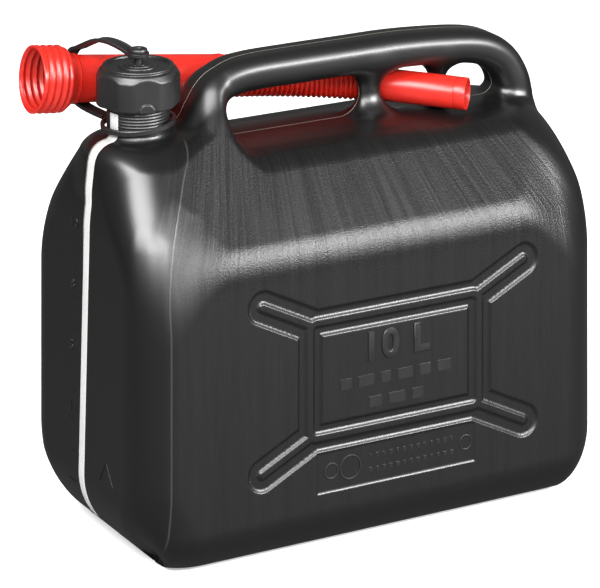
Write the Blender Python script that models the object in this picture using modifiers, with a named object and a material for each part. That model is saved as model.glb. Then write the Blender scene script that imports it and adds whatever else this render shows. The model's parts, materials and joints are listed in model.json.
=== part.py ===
"""Ten litre jerry can with a tethered screw cap and a stowed pouring spout.

Metres, +Z up. The can stands on Z = 0 with its length along X and the neck at -X.
The front, where the hand sees the sight stripe, faces -Y.
"""

import math

import bmesh
import bpy
from mathutils import Euler, Matrix, Vector

MM = 0.001

# Tank
LENGTH = 331 * MM
WIDTH = 166 * MM
SHELF_Z = 240 * MM
WALL = 2.4 * MM
CORNER_R = 28 * MM
BOTTOM_END_R = 46 * MM
BOTTOM_SIDE_R = 28 * MM
EAVE_Z = 176.65 * MM
EAVE_R = 32 * MM
ROOF_ANGLE = math.radians(53)
SHELF_CROWN = 4 * MM
ROOF_LEVELS = (203, 212, 221, 229, 236, 238, 239.3)
SHOULDER_Z = 185 * MM
SHOULDER_RUN = 26 * MM
NECK_END_Z = 200 * MM
NECK_END_RUN = 9 * MM

# Front and back panel
PANEL_X = 10 * MM
PANEL_Z = 107.3 * MM
PANEL_LENGTH = 122 * MM
PANEL_HEIGHT = 71 * MM
PANEL_DEPTH = 1.1 * MM
CHANNEL = 16 * MM
ARM_CHANNEL = 20 * MM
RIB = 5.5 * MM
ARM_X = 94 * MM
ARM_Z = 51 * MM

# Handle
HANDLE_WALL = 2.8 * MM
POSTS = (
    # place along X, then half the waist along X and along Y
    (39.2 * MM, 7.2 * MM, 4.6 * MM), (90 * MM, 5.6 * MM, 5.6 * MM),
)
POST_FLARE = 7 * MM
POST_LEVELS = (
    # height in mm and the share of the flare there
    (236, 1.0), (241, 0.8), (245, 0.25), (249, 0.0), (259, 0.0), (264, 0.3), (268.5, 0.9), (272, 1.0),
)

# Neck, cap and seal
NECK_X = -127.6 * MM
NECK_R = 19.7 * MM
BORE_R = 16.8 * MM
NECK_TOP = 287.2 * MM
BORE_FLOOR = 225 * MM
BORE_REACH = 300 * MM
THREAD_LEAD = 5 * MM
THREAD_TURNS = 1.5
THREAD_HEIGHT = 1.3 * MM
THREAD_BASE = 1.6 * MM
THREAD_CREST = 0.7 * MM
NECK_THREAD_Z = 277.6 * MM
CAP_THREAD_Z = 275.1 * MM
CAP_BOTTOM = 269.5 * MM
CAP_CORNER_R = 26.5 * MM
CAP_FLATS = 50 * MM
CAP_TURN = math.radians(15.9)
CAP_BORE_R = 21.5 * MM
CAP_FACET_TOP = 291.2 * MM
CAP_TOP = 293.4 * MM
CAP_BOSS_TOP = 294.2 * MM
CAP_BEVEL = 3.7 * MM
CAP_SHOULDER_R = 24.4 * MM
CAP_FACE_R = 23 * MM
DISC_R = 22.6 * MM
DISC_RIM = 2 * MM
RECESS_R = 20 * MM
RECESS_DEPTH = 1.8 * MM
STEP_R = 12 * MM
STEP_DROP = 0.6 * MM
CAP_BOSS_R = 6.8 * MM
PIN_DEPTH = 2.6 * MM
SEAL_THICK = 1.5 * MM
SEAL_R = 20.9 * MM
CLEAR = 0.3 * MM

# Tether
RING_Z = 257.3 * MM
RING_INNER_R = 21.5 * MM
RING_OUTER_R = 23.35 * MM
RING_TILT = math.radians(-5)
BAND_W = 8 * MM
BAND_T = 2 * MM
EYELET_Z = 299.5 * MM
STUD_PIN_R = 2.6 * MM
STUD_HEAD_R = 5.9 * MM
STUD_HEAD_T = 2.4 * MM
STUD_EDGE = 1 * MM
EYELET_R = 6.4 * MM
RING_HALF_T = 1.5 * MM

# Sight stripe and litre marks
STRIPE_W = 9.3 * MM
STRIPE_T = 1.0 * MM
STRIPE_TOP_Z = 267 * MM
STRIPE_END_Z = 16 * MM
STRIPE_TOP_Y = -4.7 * MM
STRIPE_FOOT_Y = 5.0 * MM
STRIPE_DRIFT_Z = 195 * MM
LITRE_STEP = 19.2 * MM
LITRE_TOP_Z = 189 * MM
LITRES = 9
LONG_MARK = 11.5 * MM
SHORT_MARK = 7 * MM
UPPER_MARKS = 4
UPPER_MARK_Y = 6.5 * MM
LOWER_MARK_Y = 9.5 * MM
MARK_T = 1.2 * MM
MARK_PROUD = 0.5 * MM

# Spout: mouth of the collar, then where the axis crosses the handle's plane
SPOUT_MOUTH = Vector((-176.8, 51.0, 277.9)) * MM
SPOUT_CROSS = Vector((65.5, 0, 252.7)) * MM
SPOUT_HEADING = math.radians(2.2)
SPOUT_SLOPE = math.radians(6.2)
TIP_HEADING = math.radians(43.4)
TIP_SLOPE = math.radians(2.6)
COLLAR_R = 21 * MM
COLLAR_LENGTH = 28 * MM
COLLAR_RIBS = 4
COLLAR_PITCH = 4.6 * MM
COLLAR_WAVE = 0.7 * MM
COLLAR_WALL = 1.8 * MM
COLLAR_LIP = 1.2 * MM
TUBE_END = 131.5 * MM
TUBE_R0 = 14.8 * MM
TUBE_R1 = 13.7 * MM
BELLOWS_R1 = 11.5 * MM
BELLOWS_PITCH = 3.5 * MM
BELLOWS_DEPTH = 1.6 * MM
BELLOWS_SIDES = 14
BELLOWS_PULL = 0.352
TIP_BACK = 15 * MM
TIP_FRONT = 41.7 * MM
TIP_R = 10.4 * MM
TIP_LINE = 8 * MM
TIP_STEP = 0.3 * MM
SPOUT_WALL = 1.6 * MM

ROUND = 40


# ---------------------------------------------------------------- scene helpers

def clear_scene():
    for obj in list(bpy.data.objects):
        bpy.data.objects.remove(obj, do_unlink=True)


def collection(name):
    made = bpy.data.collections.new(name)
    bpy.context.scene.collection.children.link(made)
    return made


def material(name, colour, roughness, alpha=1.0):
    made = bpy.data.materials.new(name)
    made.use_nodes = True
    shader = made.node_tree.nodes["Principled BSDF"]
    shader.inputs["Base Color"].default_value = (*colour, 1.0)
    shader.inputs["Roughness"].default_value = roughness
    shader.inputs["Metallic"].default_value = 0.0
    shader.inputs["Alpha"].default_value = alpha
    return made


def mesh_object(name, bm, parts):
    bmesh.ops.recalc_face_normals(bm, faces=bm.faces)
    mesh = bpy.data.meshes.new(name)
    bm.to_mesh(mesh)
    bm.free()
    obj = bpy.data.objects.new(name, mesh)
    parts.objects.link(obj)
    return obj


def apply_modifiers(obj):
    depsgraph = bpy.context.evaluated_depsgraph_get()
    mesh = bpy.data.meshes.new_from_object(obj.evaluated_get(depsgraph))
    obj.modifiers.clear()
    obj.data = mesh
    return obj


def triangulate(obj):
    bm = bmesh.new()
    bm.from_mesh(obj.data)
    bmesh.ops.triangulate(bm, faces=bm.faces)
    bm.to_mesh(obj.data)
    bm.free()


def merge_flats(obj):
    """Join coplanar triangles and cut them again into fewer ones."""
    bm = bmesh.new()
    bm.from_mesh(obj.data)
    bmesh.ops.dissolve_limit(bm, angle_limit=math.radians(0.05), verts=bm.verts, edges=bm.edges)
    bmesh.ops.triangulate(bm, faces=bm.faces)
    bm.to_mesh(obj.data)
    bm.free()


def combine(target, operation, other):
    """Join, cut or intersect target with other, which is then removed."""
    triangulate(target)
    triangulate(other)
    bpy.context.view_layer.update()
    modifier = target.modifiers.new("combine", "BOOLEAN")
    modifier.operation = operation
    modifier.solver = "EXACT"
    modifier.object = other
    apply_modifiers(target)
    bpy.data.objects.remove(other, do_unlink=True)
    return target


# ---------------------------------------------------------------- shape helpers

def loft(name, rings, parts, hollow=False):
    """Skin a row of equal rings. A hollow loft runs out, back and closes on itself."""
    bm = bmesh.new()
    loops = [[bm.verts.new(point) for point in ring] for ring in rings]
    count = len(loops[0])
    pairs = list(zip(loops, loops[1:]))
    if hollow:
        pairs.append((loops[-1], loops[0]))
    for lower, upper in pairs:
        for i in range(count):
            j = (i + 1) % count
            bm.faces.new((lower[i], lower[j], upper[j], upper[i]))
    if not hollow:
        bm.faces.new(loops[0])
        bm.faces.new(loops[-1])
    return mesh_object(name, bm, parts)


def turned(name, profile, parts, ring=False, steps=ROUND):
    """Revolve (radius, height) points about Z with a Screw modifier."""
    bm = bmesh.new()
    verts = [bm.verts.new((radius, 0, height)) for radius, height in profile]
    for a, b in zip(verts, verts[1:]):
        bm.edges.new((a, b))
    if ring:
        bm.edges.new((verts[-1], verts[0]))
    mesh = bpy.data.meshes.new(name)
    bm.to_mesh(mesh)
    bm.free()
    obj = bpy.data.objects.new(name, mesh)
    parts.objects.link(obj)
    screw = obj.modifiers.new("turn", "SCREW")
    screw.steps = screw.render_steps = steps
    screw.use_merge_vertices = True
    screw.merge_threshold = 1e-5
    bpy.context.view_layer.update()
    apply_modifiers(obj)
    tidy = bmesh.new()
    tidy.from_mesh(obj.data)
    bmesh.ops.recalc_face_normals(tidy, faces=tidy.faces)
    tidy.to_mesh(obj.data)
    tidy.free()
    return obj


def block(name, size, centre, parts, turn=0.0, bevel=0.0, segments=4):
    """A box whose edges along Y may be rounded, turned about Y."""
    bm = bmesh.new()
    bmesh.ops.create_cube(bm, size=1.0)
    bmesh.ops.scale(bm, vec=size, verts=bm.verts)
    if bevel:
        edges = [e for e in bm.edges if abs((e.verts[0].co - e.verts[1].co).y) > size[1] / 2]
        bmesh.ops.bevel(bm, geom=edges, offset=bevel, segments=segments, affect="EDGES", profile=0.5)
    bmesh.ops.rotate(bm, verts=bm.verts, matrix=Matrix.Rotation(turn, 3, "Y"))
    bmesh.ops.translate(bm, verts=bm.verts, vec=centre)
    return mesh_object(name, bm, parts)


def superellipse(half_a, half_b, count, power=3.0):
    """Points (a, b) of a rounded rectangle-like ring."""
    points = []
    for i in range(count):
        angle = 2 * math.pi * i / count
        c, s = math.cos(angle), math.sin(angle)
        points.append((
            half_a * math.copysign(abs(c) ** (2 / power), c),
            half_b * math.copysign(abs(s) ** (2 / power), s),
        ))
    return points


def arc_inset(distance, radius, run):
    """How far a quarter ellipse has come in when it is distance along its rise."""
    part = min(max(distance / radius, 0.0), 1.0)
    return run * (1 - math.sqrt(1 - part * part))


# ---------------------------------------------------------------- tank outline

def left_x(z):
    bottom = arc_inset(BOTTOM_END_R - z, BOTTOM_END_R, BOTTOM_END_R)
    return -LENGTH / 2 + bottom + arc_inset(z - NECK_END_Z, SHELF_Z - NECK_END_Z, NECK_END_RUN)


def right_x(z):
    bottom = arc_inset(BOTTOM_END_R - z, BOTTOM_END_R, BOTTOM_END_R)
    return LENGTH / 2 - bottom - arc_inset(z - SHOULDER_Z, SHELF_Z - SHOULDER_Z, SHOULDER_RUN)


def half_width(z):
    """Half the tank's width: rounded foot, upright side, eave, sloping roof, crowned shelf."""
    half = WIDTH / 2 - arc_inset(BOTTOM_SIDE_R - z, BOTTOM_SIDE_R, BOTTOM_SIDE_R)
    eave_top = EAVE_Z + EAVE_R * math.cos(ROOF_ANGLE)
    if z <= EAVE_Z:
        return half
    if z <= eave_top:
        return half - EAVE_R + math.sqrt(EAVE_R ** 2 - (z - EAVE_Z) ** 2)
    half -= EAVE_R * (1 - math.sin(ROOF_ANGLE))
    roof_top = SHELF_Z - SHELF_CROWN
    half -= (min(z, roof_top) - eave_top) / math.tan(ROOF_ANGLE)
    if z > roof_top:
        half *= math.sqrt(1 - ((z - roof_top) / SHELF_CROWN) ** 2 * 0.96)
    return half


def tank_ring(z, height, inset):
    """The tank's rounded rectangle whose outline is taken at z and drawn at height."""
    x0 = left_x(z) + inset
    x1 = right_x(z) - inset
    half = half_width(z) - inset
    radius = min(CORNER_R - inset, half * 0.98)
    corners = (
        (x1 - radius, half - radius, 0),
        (x0 + radius, half - radius, 90),
        (x0 + radius, radius - half, 180),
        (x1 - radius, radius - half, 270),
    )
    ring = []
    for cx, cy, start in corners:
        for step in range(7):
            angle = math.radians(start + 15 * step)
            ring.append((cx + radius * math.cos(angle), cy + radius * math.sin(angle), height))
    return ring


def tank_levels():
    foot = [BOTTOM_END_R * (1 - math.cos(math.radians(a))) for a in (0, 12, 24, 36, 50, 65, 90)]
    rise = EAVE_R * math.cos(ROOF_ANGLE)
    wall = [EAVE_Z + rise * part for part in (0, 0.4, 0.72, 1)]
    return foot + wall + [z * MM for z in ROOF_LEVELS] + [SHELF_Z]


def solid_tank(parts):
    return loft("tank", [tank_ring(z, z, 0.0) for z in tank_levels()], parts)


def tank_cavity(parts):
    """The inside: each level is moved towards the middle by the wall."""
    middle = SHELF_Z / 2
    rings = []
    for z in tank_levels():
        height = z + WALL * (middle - z) / middle
        slope = 1.25 if z > EAVE_Z else 1.0
        rings.append(tank_ring(z, height, WALL * slope))
    return loft("cavity", rings, parts)


# ---------------------------------------------------------------- handle

HANDLE_PATH = (
    # x, z, half thickness in the handle's plane, half width across it, all in mm
    (-88, 232, 17.5, 20), (-88, 240, 17.0, 19), (-86, 250, 14.0, 17), (-81.5, 262, 9.6, 16),
    (-76, 270.5, 8.8, 16), (-65, 276.8, 9.8, 16), (-50, 278.8, 10.6, 16), (0, 279, 11, 16),
    (55, 279, 11, 16), (90, 277, 10.8, 16), (113, 274.5, 10.6, 16), (127, 269.5, 11, 16),
    (137, 261.5, 11, 16.5), (143, 251, 12, 18), (144.5, 241, 13.5, 19), (143, 230, 14, 19),
)


def handle_rings(inset):
    """Rounded sections across the handle's path, each square to it."""
    centres = [Vector((x, 0, z)) * MM for x, z, _, _ in HANDLE_PATH]
    rings = []
    for i, (_, _, thick, wide) in enumerate(HANDLE_PATH):
        ahead = centres[min(i + 1, len(centres) - 1)]
        behind = centres[max(i - 1, 0)]
        tangent = (ahead - behind).normalized()
        normal = Vector((-tangent.z, 0, tangent.x))
        ring = superellipse(wide * MM - inset, thick * MM - inset, 16)
        rings.append([centres[i] + Vector((0, a, 0)) + normal * b for a, b in ring])
    return rings


def post(x, half_x, half_y, parts):
    rings = []
    for z, flare in POST_LEVELS:
        grow = POST_FLARE * flare
        ring = superellipse(half_x + grow, half_y + grow, 12, power=2.0)
        rings.append([(x + a, b, z * MM) for a, b in ring])
    return loft("post", rings, parts)


# ---------------------------------------------------------------- neck and threads

BOSS = ((32, 228), (32, 236.5), (30, 241), (27, 244), (22.5, 247.2), (20.4, 250), (19.7, 254))


def neck(parts):
    profile = [(0, BOSS[0][1] * MM)] + [(r * MM, z * MM) for r, z in BOSS]
    profile += [(NECK_R, NECK_TOP), (0, NECK_TOP)]
    obj = turned("neck", profile, parts)
    obj.location.x = NECK_X
    return obj


def thread(root_r, crest_r, start_z, parts):
    """One helical ridge, rooted inside the wall; its ends sink into the wall."""
    outward = math.copysign(1.0, crest_r - root_r)
    buried = root_r - outward * 0.6 * MM
    steps = int(ROUND * THREAD_TURNS)
    rings = []
    for i in range(steps + 1):
        fade = min(1.0, i / 3 - 0.25, (steps - i) / 3 - 0.25)
        angle = 2 * math.pi * (i + 0.5) / ROUND
        height = start_z + THREAD_LEAD * i / ROUND
        crest = root_r + (crest_r - root_r) * fade
        section = (
            (buried, -THREAD_BASE / 2), (crest, -THREAD_CREST / 2),
            (crest, THREAD_CREST / 2), (buried, THREAD_BASE / 2),
        )
        rings.append([
            (NECK_X + r * math.cos(angle), r * math.sin(angle), height + z) for r, z in section
        ])
    return loft("thread", rings, parts)


# ---------------------------------------------------------------- sight stripe

def boss_radius(z):
    """Radius of the turned shoulder and neck at height z, or 0 below it."""
    points = [(zz * MM, r * MM) for r, zz in BOSS]
    if z >= points[-1][0]:
        return NECK_R
    for (z0, r0), (z1, r1) in zip(points, points[1:]):
        if z0 <= z <= z1:
            return r0 + (r1 - r0) * (z - z0) / (z1 - z0)
    return 0.0


def end_wall_x(y, z):
    """Where the can's outside lies at -X, on the tank or on the neck above it."""
    radius = boss_radius(z)
    on_neck = NECK_X - math.sqrt(radius ** 2 - y ** 2) if radius > abs(y) else 0.0
    on_tank = left_x(z) if z <= SHELF_Z else 0.0
    return min(on_neck, on_tank)


STRIPE_HEIGHTS = (262, 254, 250, 247.2, 244, 241, 236.5, 230, 221, 212, 200, 120, 46, 35, 26, 20)


def stripe_rings(depth, proud, half_w, extra):
    """Sections of the stripe: flush with the wall outside and depth thick."""
    heights = [STRIPE_TOP_Z + extra, *(z * MM for z in STRIPE_HEIGHTS), STRIPE_END_Z - extra]
    rings = []
    for i, z in enumerate(heights):
        above = heights[max(i - 1, 0)]
        below = heights[min(i + 1, len(heights) - 1)]
        tangent = Vector((end_wall_x(0, below) - end_wall_x(0, above), 0, below - above)).normalized()
        inward = Vector((-tangent.z, 0, tangent.x))
        fall = (STRIPE_DRIFT_Z - z) / STRIPE_DRIFT_Z
        drift = STRIPE_TOP_Y + (STRIPE_FOOT_Y - STRIPE_TOP_Y) * min(max(fall, 0.0), 1.0)
        across = [drift + half_w * k / 2 for k in range(-2, 3)]
        wall = [Vector((end_wall_x(y, z), y, z)) for y in across]
        rings.append([p - inward * proud for p in wall] + [p + inward * depth for p in wall[::-1]])
    return rings


def litre_marks(parts):
    """Raised ticks beside the stripe: long at every second litre."""
    bm = bmesh.new()
    for i in range(LITRES):
        length = LONG_MARK if i % 2 == 0 else SHORT_MARK
        size = (2 * MM, length, MARK_T)
        start = UPPER_MARK_Y if i < UPPER_MARKS else LOWER_MARK_Y
        z = LITRE_TOP_Z - i * LITRE_STEP
        centre = (left_x(z) - MARK_PROUD + size[0] / 2, start + length / 2, z)
        made = bmesh.ops.create_cube(bm, size=1.0)["verts"]
        bmesh.ops.scale(bm, vec=size, verts=made)
        bmesh.ops.translate(bm, vec=centre, verts=made)
    return mesh_object("marks", bm, parts)


# ---------------------------------------------------------------- panel

def panel_band(width, arm_width, y, depth, parts):
    """A rounded frame with an arm reaching out of each corner, as one solid."""
    size = (PANEL_LENGTH + width, depth, PANEL_HEIGHT + width)
    hole = (PANEL_LENGTH - width, depth * 2, PANEL_HEIGHT - width)
    centre = (PANEL_X, y, PANEL_Z)
    band = block("band", size, centre, parts, bevel=width * 0.75)
    combine(band, "DIFFERENCE", block("hole", hole, centre, parts, bevel=width * 0.4))
    for sx in (-1, 1):
        for sz in (-1, 1):
            inner = Vector((sx * PANEL_LENGTH / 2, 0, sz * PANEL_HEIGHT / 2))
            outer = Vector((sx * ARM_X, 0, sz * ARM_Z))
            reach = (outer - inner).length
            middle = Vector(centre) + (inner + outer) / 2
            turn = -math.atan2((outer - inner).z, (outer - inner).x)
            arm = block("arm", (reach + arm_width, depth * 0.98, arm_width), middle, parts,
                        turn=turn, bevel=arm_width * 0.499)
            combine(band, "UNION", arm)
    return band


def cut_panel(can, side, parts):
    y = side * WIDTH / 2
    channel = panel_band(CHANNEL, ARM_CHANNEL, y, PANEL_DEPTH * 2, parts)
    combine(channel, "DIFFERENCE", panel_band(RIB, RIB, y, PANEL_DEPTH * 4, parts))
    combine(can, "DIFFERENCE", channel)


# ---------------------------------------------------------------- the can's pieces

def make_can(parts):
    can = solid_tank(parts)
    combine(can, "UNION", neck(parts))
    combine(can, "UNION", loft("handle", handle_rings(0.0), parts))
    for x, half_x, half_y in POSTS:
        combine(can, "UNION", post(x, half_x, half_y, parts))
    combine(can, "UNION", thread(NECK_R, NECK_R + THREAD_HEIGHT, NECK_THREAD_Z, parts))
    combine(can, "UNION", litre_marks(parts))
    combine(can, "DIFFERENCE", tank_cavity(parts))
    bore = turned("bore", [
        (0, BORE_FLOOR), (BORE_R, BORE_FLOOR), (BORE_R, BORE_REACH), (0, BORE_REACH),
    ], parts)
    bore.location.x = NECK_X
    combine(can, "DIFFERENCE", bore)
    combine(can, "DIFFERENCE", loft("handle_bore", handle_rings(HANDLE_WALL), parts))
    for side in (-1, 1):
        cut_panel(can, side, parts)
    groove = stripe_rings(STRIPE_T + CLEAR, 1 * MM, STRIPE_W / 2 + CLEAR, CLEAR)
    combine(can, "DIFFERENCE", loft("groove", groove, parts))
    merge_flats(can)
    can.name = "can_body"
    return can


def make_stripe(parts):
    return loft("level_stripe", stripe_rings(STRIPE_T, 0.0, STRIPE_W / 2, 0.0), parts)


def make_cap(parts):
    """A six-sided cap: a turned blank trimmed by a hexagon, bored and threaded."""
    blank = turned("cap", [
        (0, CAP_BOTTOM), (CAP_CORNER_R, CAP_BOTTOM), (CAP_CORNER_R, CAP_FACET_TOP - CAP_BEVEL),
        (CAP_SHOULDER_R, CAP_FACET_TOP - 1 * MM), (CAP_FACE_R, CAP_FACET_TOP), (0, CAP_FACET_TOP),
    ], parts)
    bm = bmesh.new()
    height = CAP_FACET_TOP - CAP_BOTTOM + 4 * MM
    reach = CAP_FLATS / 2 / math.cos(math.pi / 6)
    bmesh.ops.create_cone(bm, cap_ends=True, segments=6, radius1=reach, radius2=reach, depth=height)
    bmesh.ops.rotate(bm, verts=bm.verts, matrix=Matrix.Rotation(CAP_TURN, 3, "Z"))
    bmesh.ops.translate(bm, verts=bm.verts, vec=(0, 0, CAP_BOTTOM - 2 * MM + height / 2))
    combine(blank, "INTERSECT", mesh_object("hexagon", bm, parts))
    disc_foot = CAP_FACET_TOP - 1.5 * MM
    recess = CAP_TOP - RECESS_DEPTH
    step = CAP_TOP - STEP_DROP
    combine(blank, "UNION", turned("disc", [
        (0, disc_foot), (DISC_R, disc_foot), (DISC_R, CAP_TOP), (DISC_R - DISC_RIM, CAP_TOP),
        (RECESS_R, recess), (STEP_R, recess), (STEP_R, step), (CAP_BOSS_R, step),
        (CAP_BOSS_R, CAP_BOSS_TOP), (0, CAP_BOSS_TOP),
    ], parts))
    ceiling = NECK_TOP + SEAL_THICK + 2 * CLEAR
    combine(blank, "DIFFERENCE", turned("cap_bore", [
        (0, CAP_BOTTOM - 2 * MM), (CAP_BORE_R, CAP_BOTTOM - 2 * MM), (CAP_BORE_R, ceiling), (0, ceiling),
    ], parts))
    floor = CAP_BOSS_TOP - PIN_DEPTH
    pin_hole = STUD_PIN_R + CLEAR
    combine(blank, "DIFFERENCE", turned("pin_hole", [
        (0, floor), (pin_hole, floor), (pin_hole, CAP_TOP + 4 * MM), (0, CAP_TOP + 4 * MM),
    ], parts))
    blank.location.x = NECK_X
    bpy.context.view_layer.update()
    combine(blank, "UNION", thread(CAP_BORE_R, CAP_BORE_R - THREAD_HEIGHT, CAP_THREAD_Z, parts))
    return blank


def make_seal(parts):
    low = NECK_TOP + CLEAR
    high = low + SEAL_THICK
    obj = turned("cap_seal", [(0, low), (SEAL_R, low), (SEAL_R, high), (0, high)], parts)
    obj.location.x = NECK_X
    return obj


def make_stud(parts):
    foot = CAP_BOSS_TOP - PIN_DEPTH + CLEAR
    head = EYELET_Z + BAND_T / 2 + CLEAR
    obj = turned("tether_stud", [
        (0, foot), (STUD_PIN_R, foot), (STUD_PIN_R, head), (STUD_HEAD_R, head),
        (STUD_HEAD_R, head + STUD_EDGE), (STUD_HEAD_R - 1 * MM, head + STUD_HEAD_T - 0.4 * MM),
        (0, head + STUD_HEAD_T),
    ], parts, steps=32)
    obj.location.x = NECK_X
    return obj


BAND_PATH = (
    # centre line in mm and the way the band's outer face looks
    ((-130.2, 5.0, 299.5), (0, 0, 1)), ((-132.5, 12, 301.8), (0, -0.2, 1)),
    ((-136, 22, 303.6), (0, 0, 1)), ((-139, 32, 302.6), (0, 0.25, 1)),
    ((-141, 42, 298.2), (0, 0.4, 0.9)), ((-142, 52, 293.4), (0, 0.35, 0.95)),
    ((-142, 61, 290), (0, 0.6, 0.8)), ((-142, 67, 283.5), (0, 0.95, 0.3)),
    ((-142, 68, 275), (0, 1, 0)), ((-142, 66, 266.5), (0, 0.93, -0.35)),
    ((-142, 59.5, 260), (0, 0.6, -0.8)), ((-141.5, 50, 257.6), (0, 0, -1)),
    ((-140.5, 40, 256.8), (0, 0, -1)), ((-139.5, 30, 256.6), (0, 0, -1)),
    ((-138, 20.5, 256.5), (0, 0, -1)),
)


def make_strap(parts):
    """Loose ring round the neck, band round the spout and eyelet on the cap, all one piece."""
    strap = turned("tether_strap", [
        (RING_INNER_R, -RING_HALF_T), (RING_OUTER_R, -RING_HALF_T),
        (RING_OUTER_R, RING_HALF_T), (RING_INNER_R, RING_HALF_T),
    ], parts, ring=True)
    strap.rotation_euler = Euler((0, RING_TILT, 0))
    strap.location = (NECK_X, 0, RING_Z)
    bpy.context.view_layer.update()
    strap.data.transform(strap.matrix_world)
    strap.matrix_world = Matrix.Identity(4)
    centres = [Vector(point) * MM for point, _ in BAND_PATH]
    rings = []
    for i, (_, face) in enumerate(BAND_PATH):
        tangent = (centres[min(i + 1, len(centres) - 1)] - centres[max(i - 1, 0)]).normalized()
        out = Vector(face)
        out = (out - tangent * out.dot(tangent)).normalized()
        across = tangent.cross(out)
        rings.append([
            centres[i] + across * a * BAND_W / 2 + out * b * BAND_T / 2
            for a, b in ((-1, -1), (1, -1), (1, 1), (-1, 1))
        ])
    combine(strap, "UNION", loft("band", rings, parts))
    eyelet = turned("eyelet", [
        (STUD_PIN_R + CLEAR, -BAND_T / 2), (EYELET_R, -BAND_T / 2),
        (EYELET_R, BAND_T / 2), (STUD_PIN_R + CLEAR, BAND_T / 2),
    ], parts, ring=True, steps=32)
    eyelet.location = (NECK_X, 0, EYELET_Z)
    bpy.context.view_layer.update()
    combine(strap, "UNION", eyelet)
    hole = turned("eyelet_hole", [
        (0, -BAND_T * 2), (STUD_PIN_R + CLEAR, -BAND_T * 2), (STUD_PIN_R + CLEAR, BAND_T * 2),
        (0, BAND_T * 2),
    ], parts, steps=32)
    hole.location = (NECK_X, 0, EYELET_Z)
    bpy.context.view_layer.update()
    return combine(strap, "DIFFERENCE", hole)


# ---------------------------------------------------------------- spout

def direction(heading, slope):
    """A way that runs along +X, swings towards -Y by heading and dips by slope."""
    return Vector((
        math.cos(slope) * math.cos(heading), -math.cos(slope) * math.sin(heading), -math.sin(slope)
    ))


def place_along(obj, start, way):
    obj.rotation_euler = way.to_track_quat("Z", "X").to_euler()
    obj.location = start
    return obj


def tube_radius(s):
    return TUBE_R0 + (TUBE_R1 - TUBE_R0) * (s - COLLAR_LENGTH) / (TUBE_END - COLLAR_LENGTH)


def make_collar(parts):
    """Threaded collar, wavy inside and out because its thread is moulded through the wall."""
    outer, inner = [], []
    for i in range(4 * COLLAR_RIBS + 1):
        s = COLLAR_LIP + i * COLLAR_PITCH / 4
        wave = COLLAR_WAVE * math.cos(math.pi * i / 2)
        outer.append((COLLAR_R - COLLAR_WAVE + wave, s))
        inner.append((COLLAR_R - COLLAR_WAVE - COLLAR_WALL + wave, s))
    foot = COLLAR_LENGTH - COLLAR_LIP
    outer = [(COLLAR_R, 0)] + outer + [(TUBE_R0 + 1 * MM, foot), (TUBE_R0 + 1 * MM, COLLAR_LENGTH)]
    inner = [(COLLAR_R - COLLAR_WALL, 0)] + inner
    inner += [(TUBE_R0 - SPOUT_WALL, foot - 1 * MM), (TUBE_R0 - SPOUT_WALL, COLLAR_LENGTH)]
    obj = turned("spout_collar", outer + inner[::-1], parts, ring=True, steps=28)
    return place_along(obj, SPOUT_MOUTH, direction(SPOUT_HEADING, SPOUT_SLOPE))


def make_tube(parts):
    start = COLLAR_LENGTH + CLEAR
    profile = [
        (tube_radius(start) - SPOUT_WALL, start), (tube_radius(start), start),
        (TUBE_R1, TUBE_END), (TUBE_R1 - SPOUT_WALL, TUBE_END),
    ]
    obj = turned("spout_tube", profile, parts, ring=True)
    return place_along(obj, SPOUT_MOUTH, direction(SPOUT_HEADING, SPOUT_SLOPE))


def bellows_line():
    """Centre line of the bend between the tube's end and the tip's back end."""
    start_way = direction(SPOUT_HEADING, SPOUT_SLOPE)
    end_way = direction(TIP_HEADING, TIP_SLOPE)
    start = SPOUT_MOUTH + start_way * (TUBE_END + CLEAR)
    end = SPOUT_CROSS - end_way * (TIP_BACK + CLEAR)
    pull = (end - start).length * BELLOWS_PULL
    return start, start + start_way * pull, end - end_way * pull, end


def bezier(points, t):
    a, b, c, d = points
    u = 1 - t
    place = a * u ** 3 + b * 3 * u * u * t + c * 3 * u * t * t + d * t ** 3
    way = (b - a) * u * u + (c - b) * 2 * u * t + (d - c) * t * t
    return place, way.normalized()


def make_bellows(parts):
    """A corrugated tube bent to the bend's centre line, hollow and open at both ends."""
    line = bellows_line()
    length = sum(
        (bezier(line, (i + 1) / 64)[0] - bezier(line, i / 64)[0]).length for i in range(64)
    )
    folds = round(length / BELLOWS_PITCH)
    outer, inner = [], []
    for i in range(2 * folds + 1):
        t = i / (2 * folds)
        place, way = bezier(line, t)
        side = way.cross(Vector((0, 0, 1))).normalized()
        up = side.cross(way)
        valley = BELLOWS_DEPTH if i % 2 == 0 else 0.0
        radius = TUBE_R1 + (BELLOWS_R1 - TUBE_R1) * t - valley
        for ring, r in ((outer, radius), (inner, radius - SPOUT_WALL)):
            ring.append([
                place + (side * math.cos(a) + up * math.sin(a)) * r
                for a in (2 * math.pi * k / BELLOWS_SIDES for k in range(BELLOWS_SIDES))
            ])
    return loft("spout_bellows", outer + inner[::-1], parts, hollow=True)


def make_tip(parts):
    profile = [
        (TIP_R - 1 * MM - SPOUT_WALL, -TIP_BACK), (TIP_R - 1 * MM, -TIP_BACK), (TIP_R, -TIP_BACK + 1 * MM),
        (TIP_R, TIP_FRONT - TIP_LINE), (TIP_R - TIP_STEP, TIP_FRONT - TIP_LINE + TIP_STEP),
        (TIP_R - TIP_STEP, TIP_FRONT), (TIP_R - SPOUT_WALL, TIP_FRONT), (TIP_R - SPOUT_WALL, 0),
    ]
    obj = turned("spout_tip", profile, parts, ring=True)
    return place_along(obj, SPOUT_CROSS, direction(TIP_HEADING, TIP_SLOPE))


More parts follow.
